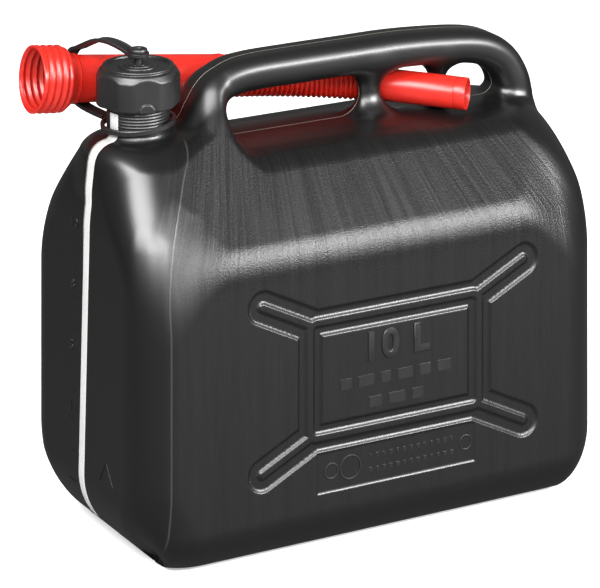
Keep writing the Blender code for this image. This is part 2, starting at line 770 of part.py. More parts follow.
def build():
    clear_scene()
    parts = collection("jerry_can")
    black = material("black_polyethylene", (0.018, 0.018, 0.019), 0.42)
    white = material("sight_stripe", (0.78, 0.78, 0.76), 0.45)
    rubber = material("seal_rubber", (0.05, 0.05, 0.05), 0.7)
    red = material("red_polyethylene", (0.70, 0.035, 0.02), 0.4)
    pieces = (
        (make_can, black), (make_stripe, white), (make_cap, black), (make_seal, rubber),
        (make_strap, black), (make_stud, black), (make_collar, red), (make_tube, red),
        (make_bellows, red), (make_tip, red),
    )
    for make, finish in pieces:
        obj = make(parts)
        obj.data.materials.clear()
        obj.data.materials.append(finish)


build()
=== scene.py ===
"""Looks for the ten litre jerry can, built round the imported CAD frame.

Lengths are in millimetres while a shape is worked out, and in metres once it is a mesh.
X runs along the can with the neck at -X, the front faces -Y, and Z is up.
"""

import json
import math

import bmesh
import bpy
import numpy as np
from mathutils import Matrix, Vector


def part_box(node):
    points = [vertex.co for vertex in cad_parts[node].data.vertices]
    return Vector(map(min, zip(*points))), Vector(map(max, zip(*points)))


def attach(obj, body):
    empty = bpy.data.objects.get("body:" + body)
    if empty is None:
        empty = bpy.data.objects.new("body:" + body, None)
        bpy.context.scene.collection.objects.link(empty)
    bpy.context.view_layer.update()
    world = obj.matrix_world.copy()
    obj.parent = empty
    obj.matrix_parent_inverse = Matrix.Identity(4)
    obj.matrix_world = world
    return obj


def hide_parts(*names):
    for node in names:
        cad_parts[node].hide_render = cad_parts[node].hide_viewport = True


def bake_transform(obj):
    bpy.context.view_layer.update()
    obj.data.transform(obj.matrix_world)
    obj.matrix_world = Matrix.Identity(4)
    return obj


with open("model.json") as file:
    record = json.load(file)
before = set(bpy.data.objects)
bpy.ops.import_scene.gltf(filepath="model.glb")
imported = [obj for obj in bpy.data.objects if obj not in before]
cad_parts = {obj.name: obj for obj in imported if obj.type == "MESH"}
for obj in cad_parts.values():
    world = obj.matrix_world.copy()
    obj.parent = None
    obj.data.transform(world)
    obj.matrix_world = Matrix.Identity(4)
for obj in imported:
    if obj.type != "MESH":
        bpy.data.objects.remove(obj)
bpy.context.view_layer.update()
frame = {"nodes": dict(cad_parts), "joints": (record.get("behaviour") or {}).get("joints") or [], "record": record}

MM = 0.001
TO_METRES = Matrix.Diagonal((MM, MM, MM, 1))


# ---- sizes taken from the frame

def joint(name):
    return next(j for j in frame["joints"] if j["name"] == name)


def ratio(name):
    couplings = frame["record"]["behaviour"]["couplings"]
    return next(c["ratio"] for c in couplings if c["joint"] == name)


def unit(v):
    v = np.asarray(v, float)
    return v / np.linalg.norm(v)


def axis_span(node, way):
    """Start and end of a turned node on its own axis, which runs along way."""
    mesh = frame["nodes"][node].data
    points = np.empty(len(mesh.vertices) * 3)
    mesh.vertices.foreach_get("co", points)
    points = points.reshape(-1, 3) / MM
    middle = points.mean(axis=0)
    along = (points - middle) @ way
    return middle + way * along.min(), middle + way * along.max()


BODY_HIGH = np.array(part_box("can_body")[1]) / MM
CAP_LOW, CAP_HIGH = (np.array(corner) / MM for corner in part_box("cap"))
END_X = BODY_HIGH[0]
SIDE_Y = BODY_HIGH[1]
GRIP_TOP = BODY_HIGH[2]
NECK = np.array([(CAP_LOW[0] + CAP_HIGH[0]) / 2, 0.0])
CAP_BASE = CAP_LOW[2]
CAP_R = (CAP_HIGH[0] - CAP_LOW[0]) / 2

TUBE_WAY = -unit(joint("spout_draw")["axis"])
TIP_WAY = unit(TUBE_WAY - np.array(joint("tip_draw")["axis"]) * ratio("tip_draw"))
COLLAR_START, COLLAR_END = axis_span("spout_collar", TUBE_WAY)
TUBE_START, TUBE_END = axis_span("spout_tube", TUBE_WAY)
TIP_START, TIP_END = axis_span("spout_tip", TIP_WAY)

# Tank, all in mm
SHELF_Z = 240.0
CORNER_R = 28.0
FOOT_SIDE_R = 28.0
FOOT_END_R = 46.0
EAVE_Z = 176.65
EAVE_R = 32.0
ROOF_TILT = math.radians(37)
SHELF_HALF = 43.0
SHELF_CROWN = 4.0
HIP_R = 30.0
HIP_FADE = (-60.0, -6.0)
NECK_RISE = 7.0
LEG_EDGE_R = 7.0
LOW_CORNER_R = 20.0
SHELF_R = 6.0
END_LEAN = 5.5
END_LEAN_Z = 197.0
END_LEAN_RISE = 38.0
SHOULDER_X = 26.0
SHOULDER_Z = 185.0
SHOULDER_RISE = 56.0

# Handle leg, grip and posts; a post is its place along X, its two half widths and its fillet
LEG_SLOPE = (-0.82, 0.57)
LEG_AT = (-88.5, 266.0)
LEG_BACK_X = -76.5
LEG_TOP = 280.0
LEG_FOOT = 212.0
LEG_HALF_Y = 50.0
LEG_FILLET = 16.0
GRIP_FILLET = 9.0
POST_TOP = 276.0
POSTS = ((39.2, 7.6, 4.6, 15.0), (90.0, 5.2, 5.2, 13.0))

# Neck
BOSS_R = 33.0
BOSS_TOP = 247.5
BOSS_FOOT = 214.0
SLEEVE_FOOT = 252.0
BORE_FOOT = 262.0
RING_PITCH = 1.9
NECK_R = 19.7
NECK_CORE_R = 19.3
NECK_CORE_TOP = 286.6
NECK_BORE_R = 17.0
NECK_TOP = 287.2

# Front and back panel
PANEL_X = 10.0
PANEL_Z = 107.3
PANEL_HALF = (61.0, 35.5)
PANEL_CORNER = 5.0
CHANNEL_HALF = 8.0
ARM_HALF = 10.0
RIB_HALF = 2.8
ARM_END = (94.0, 51.0)
CHANNEL_DEPTH = 1.5
LABEL_LOW = (-46.0, 37.5)
LABEL_HIGH = (67.5, 62.5)

# Sight stripe and litre marks
STRIPE_HALF = 4.1
STRIPE_TOP_Z = 267.0
STRIPE_END_Z = 16.0
STRIPE_TOP_Y = -4.7
STRIPE_FOOT_Y = 5.0
STRIPE_BEND_Z = 195.0
LITRE_TOP = 189.0
LITRE_STEP = 19.2

# Neck thread, cap and strap
THREAD_START = 276.0
THREAD_LEAD = 5.0
CAP_CORNER_AT = 45.9
CAP_FLAT_HALF = 25.0
CAP_BORE_R = 21.5
CAP_SHOULDER = 21.7
# radius and height above the cap's base; the steps end with the rounding of their edge
CAP_DISC = (22.5, 24.0)
CAP_RECESS = (19.6, 22.6)
CAP_STEPS = ((12.4, 23.5, 0.5), (9.2, 24.2, 0.5), (6.9, 24.7, 0.4))
RING_Z = 257.3
RING_TILT = -5.0
EYELET_Z = 299.5

# Spout
COLLAR_R = 21.0
COLLAR_PITCH = 4.6
COLLAR_WAVE = 1.5
COLLAR_CONE = 8.4
COLLAR_LIP = 0.35
TUBE_FOOT_R = 15.5
TUBE_R0 = 14.8
TUBE_R1 = 13.7
MOULD_LINE_AT = math.radians(62)
BELLOWS_R1 = 11.5
BELLOWS_PITCH = 3.5
BELLOWS_DEPTH = 1.3
BELLOWS_WALL = 1.2
TIP_R = 10.4


# ---- distance fields

def round_max(a, b, radius):
    """Where two solids cross, with the edge between them rounded."""
    u = np.maximum(radius + a, 0)
    v = np.maximum(radius + b, 0)
    return np.minimum(-radius, np.maximum(a, b)) + np.hypot(u, v)


def round_min(a, b, radius):
    """Two solids joined, with a fillet between them."""
    return -round_max(-a, -b, radius)


def smooth(low, high, value):
    part = np.clip((value - low) / (high - low), 0, 1)
    return part * part * (3 - 2 * part)


def ramp(low, high, value):
    """A straight slope from 0 to 1 with its two corners just eased."""
    part = (value - low) / (high - low)
    eased = np.sqrt(part ** 2 + 0.004) - np.sqrt((part - 1) ** 2 + 0.004)
    return np.clip(0.5 + 0.5 * eased, 0, 1)


def roof(p):
    """Signed distance outside the sloping roof, front and back."""
    centre = (SIDE_Y - EAVE_R, EAVE_Z)
    n_y, n_z = math.cos(ROOF_TILT), math.sin(ROOF_TILT)
    return n_y * (np.abs(p[:, 1]) - centre[0]) + n_z * (p[:, 2] - centre[1]) - EAVE_R


def end_walls(p):
    """Both end walls: the neck end leans in slightly, the other has a rounded shoulder."""
    x, z = p[:, 0], p[:, 2]
    neck_end = -x - END_X + END_LEAN * np.clip((z - END_LEAN_Z) / END_LEAN_RISE, 0, 1.4) ** 1.6
    climb = np.clip((z - SHOULDER_Z) / SHOULDER_RISE, 0, 0.985)
    drop = np.sqrt(1 - climb ** 2)
    slant = SHOULDER_X / SHOULDER_RISE * climb / drop
    far_end = (x - END_X + SHOULDER_X * (1 - drop)) / np.sqrt(1 + slant ** 2)
    return np.maximum(neck_end, far_end)


def end_share(p):
    """1 at the end walls and 0 at the sides, even in the upright corners between them."""
    to_end = np.maximum(CORNER_R + np.abs(p[:, 0]) - END_X, 0) ** 2
    to_side = np.maximum(CORNER_R + np.abs(p[:, 1]) - SIDE_Y, 0) ** 2
    return to_end / (to_end + to_side + 1e-6)


def tank_and_leg(p):
    """The tank and the leg beside the neck, both trimmed by the sloping roof."""
    x, y, z = p[:, 0], np.abs(p[:, 1]), p[:, 2]
    slope = roof(p)
    # the neck end's upright corners widen towards the foot
    low = (1 - smooth(4, 58, z)) * smooth(40, -60, x)
    walls = round_max(y - SIDE_Y, end_walls(p), CORNER_R + LOW_CORNER_R * low)
    foot_r = FOOT_SIDE_R + (FOOT_END_R - FOOT_SIDE_R) * end_share(p)
    tank = round_max(walls, -z, foot_r)
    eave_r = EAVE_R * math.tan(ROOF_TILT / 2) * math.sin(ROOF_TILT)
    hip = smooth(HIP_FADE[0], HIP_FADE[1], np.abs(x) - END_X - y + SIDE_Y)
    tank = round_max(tank, slope, eave_r + (HIP_R - eave_r) * hip)
    crown = SHELF_CROWN * np.minimum(y / SHELF_HALF, 1.2) ** 2
    top = z - SHELF_Z + crown - NECK_RISE * smooth(-86, -106, x)
    tank = round_max(tank, top, SHELF_R)
    lean = LEG_SLOPE[0] * (x - LEG_AT[0]) + LEG_SLOPE[1] * (z - LEG_AT[1])
    leg = round_max(lean, x - LEG_BACK_X, SHELF_R)
    leg = round_max(leg, z - LEG_TOP, SHELF_R)
    leg = round_max(leg, np.maximum(y - LEG_HALF_Y, LEG_FOOT - z), SHELF_R)
    leg = round_max(leg, slope, LEG_EDGE_R)
    return np.maximum(round_min(tank, leg, LEG_FILLET), slope)


HANDLE_LINE = (
    # x, z, half thickness, half width
    (-90, 250, 10.0, 16.0), (-84, 262, 9.8, 16.0), (-77.5, 270.5, 9.6, 16.0), (-66, 276.6, 10.2, 16.0),
    (-50, 278.8, 10.7, 16.0), (-20, 279.1, 10.9, 16.0), (20, 279.1, 10.9, 16.0), (55, 278.9, 11.0, 16.0),
    (90, 277, 10.8, 16.0), (113, 274.2, 10.8, 16.0), (127, 269.3, 11.0, 16.0), (137, 261.5, 11.0, 16.0),
    (143, 251, 11.6, 16.5), (145, 241, 12.6, 17.0), (144.5, 230, 13.5, 17.0),
)


def smooth_line(rows, steps):
    """A Catmull-Rom curve through rows of numbers."""
    rows = np.array(rows, float)
    padded = np.vstack([2 * rows[0] - rows[1], rows, 2 * rows[-1] - rows[-2]])
    out = []
    for i in range(len(rows) - 1):
        a, b, c, d = padded[i:i + 4]
        for t in np.arange(steps) / steps:
            out.append(0.5 * (2 * b + (c - a) * t + (2 * a - 5 * b + 4 * c - d) * t ** 2
                              + (3 * b - a - 3 * c + d) * t ** 3))
    out.append(rows[-1])
    return np.array(out)


GRIP = smooth_line(HANDLE_LINE, 10)


def grip(p):
    """The handle: a rounded rectangle carried along its line in the plane Y = 0."""
    out = np.full(len(p), 60.0)
    near = np.flatnonzero((p[:, 2] > 222) & (np.abs(p[:, 1]) < 50) & (p[:, 0] > -130))
    starts, steps = GRIP[:-1], np.diff(GRIP, axis=0)
    length2 = (steps[:, :2] ** 2).sum(axis=1)
    for rows in np.array_split(near, max(1, len(near) // 40000)):
        q = p[rows][:, [0, 2]]
        gap = q[:, None, :] - starts[None, :, :2]
        t = np.clip((gap * steps[None, :, :2]).sum(axis=2) / length2, 0, 1)
        foot = gap - t[:, :, None] * steps[None, :, :2]
        best = (foot ** 2).sum(axis=2).argmin(axis=1)
        pick = np.arange(len(rows))
        off = np.hypot(foot[pick, best, 0], foot[pick, best, 1])
        half = starts[best, 2:] + t[pick, best][:, None] * steps[best, 2:]
        radius = half[:, 0] * 0.88
        a = np.abs(p[rows, 1]) - (half[:, 1] - radius)
        b = off - (half[:, 0] - radius)
        outside = np.hypot(np.maximum(a, 0), np.maximum(b, 0))
        out[rows] = outside + np.minimum(np.maximum(a, b), 0) - radius
    return out


def post(p, x, half_x, half_y):
    """An oval post that ends inside the grip."""
    dx = (p[:, 0] - x) / half_x
    dy = p[:, 1] / half_y
    near = np.hypot(dx, dy) + 1e-9
    slope = np.hypot(dx / half_x, dy / half_y) + 1e-9
    return round_max(near * (near - 1) / slope, p[:, 2] - POST_TOP, 2.0)


def neck(p):
    """Rounded boss with the neck standing on it."""
    r = np.hypot(p[:, 0] - NECK[0], p[:, 1])
    boss = round_max(r - BOSS_R, p[:, 2] - BOSS_TOP, 11.0)
    boss = round_max(boss, BOSS_FOOT - p[:, 2], 10.0)
    tube = round_max(r - NECK_CORE_R, p[:, 2] - NECK_CORE_TOP, 1.0)
    body = round_min(boss, tube, 4.0)
    bore = np.maximum(r - NECK_BORE_R, BORE_FOOT - p[:, 2])
    return body, bore


def frame_distance(x, z):
    """Distance to the panel's rounded frame, and to its four arms, seen from the front."""
    u = np.abs(x - PANEL_X)
    v = np.abs(z - PANEL_Z)
    a = u - PANEL_HALF[0] + PANEL_CORNER
    b = v - PANEL_HALF[1] + PANEL_CORNER
    box = np.hypot(np.maximum(a, 0), np.maximum(b, 0)) + np.minimum(np.maximum(a, b), 0)
    ring = np.abs(box - PANEL_CORNER)
    start = np.array(PANEL_HALF) - 1.0
    way = np.array(ARM_END) - start
    t = np.clip(((u - start[0]) * way[0] + (v - start[1]) * way[1]) / (way @ way), 0, 1)
    arm = np.hypot(u - start[0] - t * way[0], v - start[1] - t * way[1])
    return ring, arm


def panel_edges(x, z):
    """Signed distances outside the channel, the rib and the label's inset."""
    ring, arm = frame_distance(x, z)
    channel = np.minimum(ring - CHANNEL_HALF, arm - ARM_HALF)
    rib = np.minimum(ring, arm) - RIB_HALF
    middle = [(a + b) / 2 for a, b in zip(LABEL_LOW, LABEL_HIGH)]
    half = [(b - a) / 2 for a, b in zip(LABEL_LOW, LABEL_HIGH)]
    label = np.maximum(np.abs(x - middle[0]) - half[0], np.abs(z - middle[1]) - half[1])
    label = np.maximum(label, 1.5 - channel)
    return channel, rib, label


def panel_depth(x, z):
    """How far the panel sinks: a channel with a rib along its middle, and a shallow label."""
    channel, rib, label = panel_edges(x, z)
    depth = ramp(0.9, -1.0, channel) * CHANNEL_DEPTH
    depth *= 1 - ramp(0.9, -1.0, rib)
    return depth + ramp(0.5, -0.5, label) * 0.6


def body_field(p, detail=True):
    p = np.asarray(p, float)
    shape = tank_and_leg(p)
    high = np.flatnonzero(p[:, 2] > 195)
    q = p[high]
    part = shape[high]
    boss, bore = neck(q)
    part = round_min(part, boss, 9.0)
    part = round_min(part, grip(q), GRIP_FILLET)
    for x, half_x, half_y, fillet in POSTS:
        part = round_min(part, post(q, x, half_x, half_y), fillet)
    shape[high] = np.maximum(part, -bore)
    if detail:
        flat = np.flatnonzero((np.abs(p[:, 1]) > 70) & (p[:, 2] > 25) & (p[:, 2] < 178))
        side = smooth(70, 80, np.abs(p[flat, 1]))
        shape[flat] += panel_depth(p[flat, 0], p[flat, 2]) * side
    return shape


def plain_field(p):
    return body_field(p, detail=False)


def project(points, field, rounds=5, reach=2.0):
    """Move points along the field's slope on to its surface."""
    points = np.array(points, float)
    tips = np.array([(1, -1, -1), (-1, -1, 1), (-1, 1, -1), (1, 1, 1)], float)
    for _ in range(rounds):
        slope = sum(tip * field(points + tip * 0.04)[:, None] for tip in tips) / 0.16
        size2 = np.maximum((slope ** 2).sum(axis=1), 0.2)
        step = field(points) / size2
        points -= np.clip(step, -reach, reach)[:, None] * slope
    return points


def edge_ends(axis, others):
    """Indices of the lower and upper ends of a grid's edges along one axis."""
    lower, upper = [others] * 3, [others] * 3
    lower[axis], upper[axis] = slice(0, -1), slice(1, None)
    return tuple(lower), tuple(upper)


def surface_net(field, low, high, cell):
    """Quads on the field's surface: one corner in every cell that the surface crosses."""
    count = [int(math.ceil((b - a) / cell)) + 1 for a, b in zip(low, high)]
    axes = [low[i] + cell * np.arange(count[i]) for i in range(3)]
    values = np.empty(count)
    yy, zz = np.meshgrid(axes[1], axes[2], indexing="ij")
    for i, x in enumerate(axes[0]):
        slab = np.column_stack([np.full(yy.size, x), yy.ravel(), zz.ravel()])
        values[i] = field(slab).reshape(yy.shape)
    total = np.zeros([n - 1 for n in count] + [3])
    hits = np.zeros([n - 1 for n in count])
    inside = values < 0
    for axis in range(3):
        lower, upper = edge_ends(axis, slice(None))
        a, b = values[lower], values[upper]
        crossed = (a < 0) != (b < 0)
        place = np.where(crossed, a / np.where(crossed, a - b, 1), 0)
        spot = np.stack(np.meshgrid(*[np.arange(n, dtype=float) for n in crossed.shape],
                                    indexing="ij"), axis=-1)
        spot[..., axis] += place
        # each edge counts in the four cells round it
        one, two = (k for k in range(3) if k != axis)
        for da, db in ((0, 0), (0, 1), (1, 0), (1, 1)):
            cut = [slice(None)] * 3
            cut[one] = slice(da, crossed.shape[one] - 1 + da)
            cut[two] = slice(db, crossed.shape[two] - 1 + db)
            cut = tuple(cut)
            total += spot[cut] * crossed[cut][..., None]
            hits += crossed[cut]
    cells = np.flatnonzero(hits.ravel() > 0)
    points = total.reshape(-1, 3)[cells] / hits.ravel()[cells][:, None] * cell + np.array(low)
    number = np.full(hits.size, -1)
    number[cells] = np.arange(len(cells))
    number = number.reshape(hits.shape)
    quads = []
    for axis in range(3):
        lower, upper = edge_ends(axis, slice(1, -1))
        starts, ends = inside[lower], inside[upper]
        b, c = (axis + 1) % 3, (axis + 2) % 3
        spots = np.argwhere(starts != ends)
        into = starts[tuple(spots.T)]
        base = spots + 1
        base[:, axis] -= 1
        corners = []
        for db, dc in ((-1, -1), (0, -1), (0, 0), (-1, 0)):
            at = base.copy()
            at[:, b] += db
            at[:, c] += dc
            corners.append(number[tuple(at.T)])
        faces = np.stack(corners, axis=1)
        faces[~into] = faces[~into][:, ::-1]
        quads.append(faces)
    return points, np.vstack(quads)


# ---- meshes

def linked(name, data):
    """A new object in the scene."""
    obj = bpy.data.objects.new(name, data)
    bpy.context.scene.collection.objects.link(obj)
    return obj


def shade(mesh, sharp=None):
    """Smooth shading, with edges over sharp degrees kept sharp."""
    mesh.polygons.foreach_set("use_smooth", [True] * len(mesh.polygons))
    if sharp is not None:
        mesh.set_sharp_from_angle(angle=math.radians(sharp))
    return mesh


def new_mesh(name, points, faces, sharp=None):
    """A smooth-shaded object from points in millimetres."""
    mesh = bpy.data.meshes.new(name)
    mesh.from_pydata((np.asarray(points) * MM).tolist(), [], [list(map(int, f)) for f in faces])
    mesh.validate()
    return linked(name, shade(mesh, sharp))


def field_object(name, field, low, high, cell, sharp=None):
    points, quads = surface_net(field, low, high, cell)
    return new_mesh(name, project(points, field), quads, sharp)


def refine(obj, wanted, cuts):
    """Cut the edges that wanted() picks by their middle points, so that fine relief has room."""
    bm = bmesh.new()
    bm.from_mesh(obj.data)
    middles = np.array([(e.verts[0].co + e.verts[1].co) / 2 for e in bm.edges]) / MM
    picked = wanted(middles)
    edges = [e for e, take in zip(bm.edges, picked) if take]
    bmesh.ops.subdivide_edges(bm, edges=edges, cuts=cuts, use_grid_fill=True)
    bm.to_mesh(obj.data)
    bm.free()


def settle(obj, field, rounds=5):
    """Put every corner of obj on the field's surface."""
    count = len(obj.data.vertices)
    points = np.empty(count * 3)
    obj.data.vertices.foreach_get("co", points)
    points = project(points.reshape(-1, 3) / MM, field, rounds)
    obj.data.vertices.foreach_set("co", (points * MM).ravel())
    shade(obj.data).update()


def loft(rings, hollow=False):
    """Points and faces of a skin over a row of equal rings."""
    rings = np.asarray(rings, float)
    rows, count = rings.shape[:2]
    faces = []
    last = rows if hollow else rows - 1
    for i in range(last):
        j = (i + 1) % rows
        for k in range(count):
            m = (k + 1) % count
            faces.append((i * count + k, i * count + m, j * count + m, j * count + k))
    if not hollow:
        faces.append(tuple(range(count))[::-1])
        faces.append(tuple((rows - 1) * count + k for k in range(count)))
    return rings.reshape(-1, 3), faces


def circle(sides):
    """Angles of equal steps once round."""
    return 2 * math.pi * np.arange(sides) / sides


def spokes_round(way, angles):
    """Unit directions square to way, one at each angle."""
    side = unit(np.cross(way, (0, 0, 1)))
    up = np.cross(side, way)
    return np.cos(angles)[:, None] * side + np.sin(angles)[:, None] * up


def flat_rings(profile, centre, angles):
    """Level rings of the (radius, height) points of a turned shape round an upright axis."""
    rings = []
    for r, h in profile:
        r = np.broadcast_to(r, angles.shape)
        rings.append(np.column_stack([
            centre[0] + r * np.cos(angles), centre[1] + r * np.sin(angles), np.full(len(angles), h)
        ]))
    return rings


def closed_loft(name, rings, sharp, hollow=True):
    """A skin over rings as an object, with all its faces turned outwards."""
    points, faces = loft(rings, hollow)
    obj = new_mesh(name, points, faces, sharp)
    bm = bmesh.new()
    bm.from_mesh(obj.data)
    bmesh.ops.recalc_face_normals(bm, faces=bm.faces)
    bm.to_mesh(obj.data)
    bm.free()
    return obj


# ---- node materials

# The insert's seam on the body in metres, and the black plastic's specular level
SEAM_X = -0.1462
SEAM_BEND_Z = 0.158
SEAM_CURVE = 4.5
EAVE_TOP_Z = 0.185
BLACK_GLOSS = 0.65


def grey(level):
    return (level, level, level, 1)


class Shader:
    """Small helper that wires one procedural material."""

    def __init__(self, name):
        self.material = bpy.data.materials.new(name)
        self.material.use_nodes = True
        self.tree = self.material.node_tree
        self.principled = self.tree.nodes["Principled BSDF"]
        self.place = self.add("ShaderNodeTexCoord").outputs["Object"]

    def put(self, socket, value):
        if isinstance(value, bpy.types.NodeSocket):
            self.tree.links.new(value, socket)
        else:
            socket.default_value = value

    def add(self, kind, **inputs):
        """A node with inputs given by name."""
        node = self.tree.nodes.new(kind)
        for name, value in inputs.items():
            self.put(node.inputs[name], value)
        return node

    def row(self, kind, *values, **settings):
        """A node with settings, and values for its first inputs in their order."""
        node = self.tree.nodes.new(kind)
        for name, setting in settings.items():
            setattr(node, name, setting)
        for socket, value in zip(node.inputs, values):
            self.put(socket, value)
        return node

    def math(self, operation, *values):
        return self.row("ShaderNodeMath", *values, operation=operation).outputs[0]

    def plus(self, a, b):
        return self.math("ADD", a, b)

    def minus(self, a, b):
        return self.math("SUBTRACT", a, b)

    def times(self, first, *others):
        for other in others:
            first = self.math("MULTIPLY", first, other)
        return first

    def step(self, value, low, high):
        """0 at low and 1 at high, smooth between."""
        node = self.row("ShaderNodeMapRange", value, low, high, interpolation_type="SMOOTHSTEP")
        return node.outputs["Result"]

    def split(self, vector):
        return self.row("ShaderNodeSeparateXYZ", vector).outputs

    def join(self, x, y, z):
        return self.row("ShaderNodeCombineXYZ", x, y, z).outputs[0]

    def noise(self, vector, scale, detail=2.0, rough=0.5):
        node = self.add("ShaderNodeTexNoise", Vector=vector, Scale=scale, Detail=detail, Roughness=rough)
        return node.outputs["Fac"]

    def mixed(self, data_type, first, factor, a, b):
        """A mix node whose two values start at input number first."""
        node = self.row("ShaderNodeMix", factor, data_type=data_type)
        self.put(node.inputs[first], a)
        self.put(node.inputs[first + 1], b)
        return node

    def mix(self, factor, a, b):
        return self.mixed("FLOAT", 2, factor, a, b).outputs[0]

    def blend(self, factor, a, b):
        return self.mixed("RGBA", 6, factor, a, b).outputs[2]

    def bump(self, height, distance, strength=1.0):
        return self.add("ShaderNodeBump", Height=height, Distance=distance, Strength=strength).outputs[0]

    def finish(self, colour, roughness, normal, specular=0.4, **more):
        values = {"Base Color": colour, "Roughness": roughness, "Normal": normal,
                  "Specular IOR Level": specular, **more}
        for name, value in values.items():
            self.put(self.principled.inputs[name.replace("_", " ")], value)
        return self.material


def body_material():
    """Black polyethylene: smooth ends and handle, grained and streaked roof, front and back."""
    s = Shader("black_can")
    x, y, z = s.split(s.place)
    side = s.math("ABSOLUTE", y)
    # the grained insert starts at an upright line that curves towards the handle on the roof
    above = s.math("MAXIMUM", s.minus(z, SEAM_BEND_Z), 0.0)
    lean = s.times(s.times(above, above), SEAM_CURVE)
    edge = s.minus(x, s.plus(lean, SEAM_X))
    fade = s.mix(s.step(z, 0.200, 0.214), -0.005, -0.024)
    left = s.step(edge, fade, 0.0)
    right = s.step(s.plus(x, s.times(lean, 0.55)), 0.156, 0.135)
    below = s.step(s.plus(z, s.times(side, 0.35)), 0.2600, 0.2555)
    leg = s.times(s.step(x, -0.070, -0.078), s.step(z, 0.272, 0.262))
    roofed = s.math("MAXIMUM", below, leg)
    sideways = s.step(side, 0.022, 0.030)
    foot = s.step(z, 0.012, 0.030)
    zone = s.times(s.times(left, right), s.times(roofed, foot), sideways)
    # streaks run up the wall and close in on the handle along the roof
    climb = s.math("MAXIMUM", s.minus(z, EAVE_TOP_Z), 0.0)
    fan = s.minus(1.0, s.times(climb, 4.2))
    across = s.math("DIVIDE", s.plus(x, 0.02), fan)
    lane = s.join(across, s.times(y, 0.02), s.times(z, 0.035))
    fine = s.noise(lane, 620, 1.0)
    broad = s.noise(lane, 170, 3.0, 0.6)
    patch = s.noise(s.place, 24, 3.0, 0.6)
    grain = s.noise(s.place, 1200, 1.0)
    soft = s.noise(s.place, 420, 3.0)
    streak = s.plus(s.times(fine, 0.7), s.times(broad, 0.9))
    rough_skin = s.plus(streak, s.times(grain, 0.7))
    # the roof's grain is strong, the wall's is half worn away, and both are faint at the neck end
    roof_share = s.step(z, 0.150, EAVE_TOP_Z)
    strength = s.mix(roof_share, s.mix(patch, 0.12, 0.42), s.mix(patch, 0.75, 1.05))
    strength = s.times(strength, s.mix(s.step(x, -0.132, -0.108), 0.35, 1.0))
    relief = s.times(s.times(rough_skin, zone), strength)
    line = s.step(s.math("ABSOLUTE", edge), 0.0008, 0.0001)
    seam_ridge_and_highlight = s.times(line, s.times(sideways, s.times(roofed, foot)))
    parting_ridge_and_highlight = s.times(s.step(side, 0.00045, 0.00015), s.step(z, 0.03, 0.06))
    ridge = s.plus(s.times(seam_ridge_and_highlight, 0.5), s.times(parting_ridge_and_highlight, 1.2))
    height = s.plus(s.plus(relief, s.times(soft, 0.06)), ridge)
    wear = s.noise(s.place, 18, 4.0, 0.6)
    dark = s.blend(wear, grey(0.0016), grey(0.003))
    light = s.blend(grain, grey(0.001), (0.004, 0.004, 0.0039, 1))
    colour = s.blend(zone, dark, light)
    # painted highlight: the parting line and the insert's seam are low ridges in the bump, and are also coloured
    # lighter to stand for the light they catch
    colour = s.blend(s.times(parting_ridge_and_highlight, 0.75), colour, (0.22, 0.20, 0.16, 1))
    colour = s.blend(s.times(seam_ridge_and_highlight, 0.16), colour, (0.09, 0.09, 0.085, 1))
    # the handle is a little more matt than the neck's shoulder
    plain = s.plus(s.mix(wear, 0.27, 0.34), s.times(s.step(z, 0.235, 0.262), 0.07))
    rough = s.mix(zone, plain, s.mix(streak, 0.28, 0.38))
    on_roof = s.times(zone, s.step(z, 0.165, 0.190))
    gloss = s.mix(s.step(rough_skin, 0.75, 1.55), 0.30, 0.50)
    return s.finish(colour, rough, s.bump(height, 0.00026), s.mix(on_roof, BLACK_GLOSS, gloss))


def black_material(name, scale=600.0, roughness=(0.34, 0.46), level=(0.003, 0.007), depth=0.00005):
    """Plain moulded black plastic with a fine skin and slight handling marks."""
    s = Shader(name)
    skin = s.noise(s.place, scale, 3.0, 0.6)
    marks = s.noise(s.place, scale * 0.09, 4.0, 0.65)
    colour = s.blend(marks, grey(level[0]), grey(level[1]))
    rough = s.mix(marks, *roughness)
    return s.finish(colour, rough, s.bump(skin, depth), BLACK_GLOSS)


def red_material(name="red_spout", low=(0.30, 0.008, 0.0045, 1), high=(0.36, 0.012, 0.0065, 1)):
    """Glossy red polyethylene that lets a little light into its edges."""
    s = Shader(name)
    skin = s.noise(s.place, 500)
    flow = s.noise(s.place, 35, 3.0, 0.55)
    colour = s.blend(flow, low, high)
    rough = s.mix(flow, 0.26, 0.36)
    return s.finish(colour, rough, s.bump(skin, 0.00002), 0.5,
                    Subsurface_Weight=0.4, Subsurface_Radius=(0.009, 0.001, 0.0006))


def stripe_material():
    """Milky polyethylene that shows the darkness behind it in soft clouds."""
    s = Shader("sight_stripe")
    x, y, z = s.split(s.place)
    cloud = s.noise(s.join(x, y, s.times(z, 0.25)), 90, 3.0, 0.55)
    colour = s.blend(cloud, (0.29, 0.29, 0.286, 1), (0.37, 0.37, 0.364, 1))
    skin = s.noise(s.place, 700)
    return s.finish(colour, s.mix(cloud, 0.32, 0.42), s.bump(skin, 0.00002), 0.4,
                    Subsurface_Weight=0.2, Subsurface_Radius=(0.003, 0.003, 0.003))


def floor_material():
    """Pale floor: bright to the camera, dim in what the can mirrors."""
    s = Shader("pale_floor")
    grain = s.noise(s.place, 3)
    path = s.add("ShaderNodeLightPath").outputs
    pale = s.blend(grain, grey(0.70), grey(0.74))
    colour = s.blend(path["Is Glossy Ray"], pale, grey(0.06))
    return s.finish(colour, 0.9, s.bump(grain, 0.0001, 0.2), 0.1, Emission_Color=(1, 1, 1, 1),
                    Emission_Strength=s.times(path["Is Camera Ray"], 0.4))


def paint(obj, finish):
    obj.data.materials.clear()
    obj.data.materials.append(finish)


# ---- the can

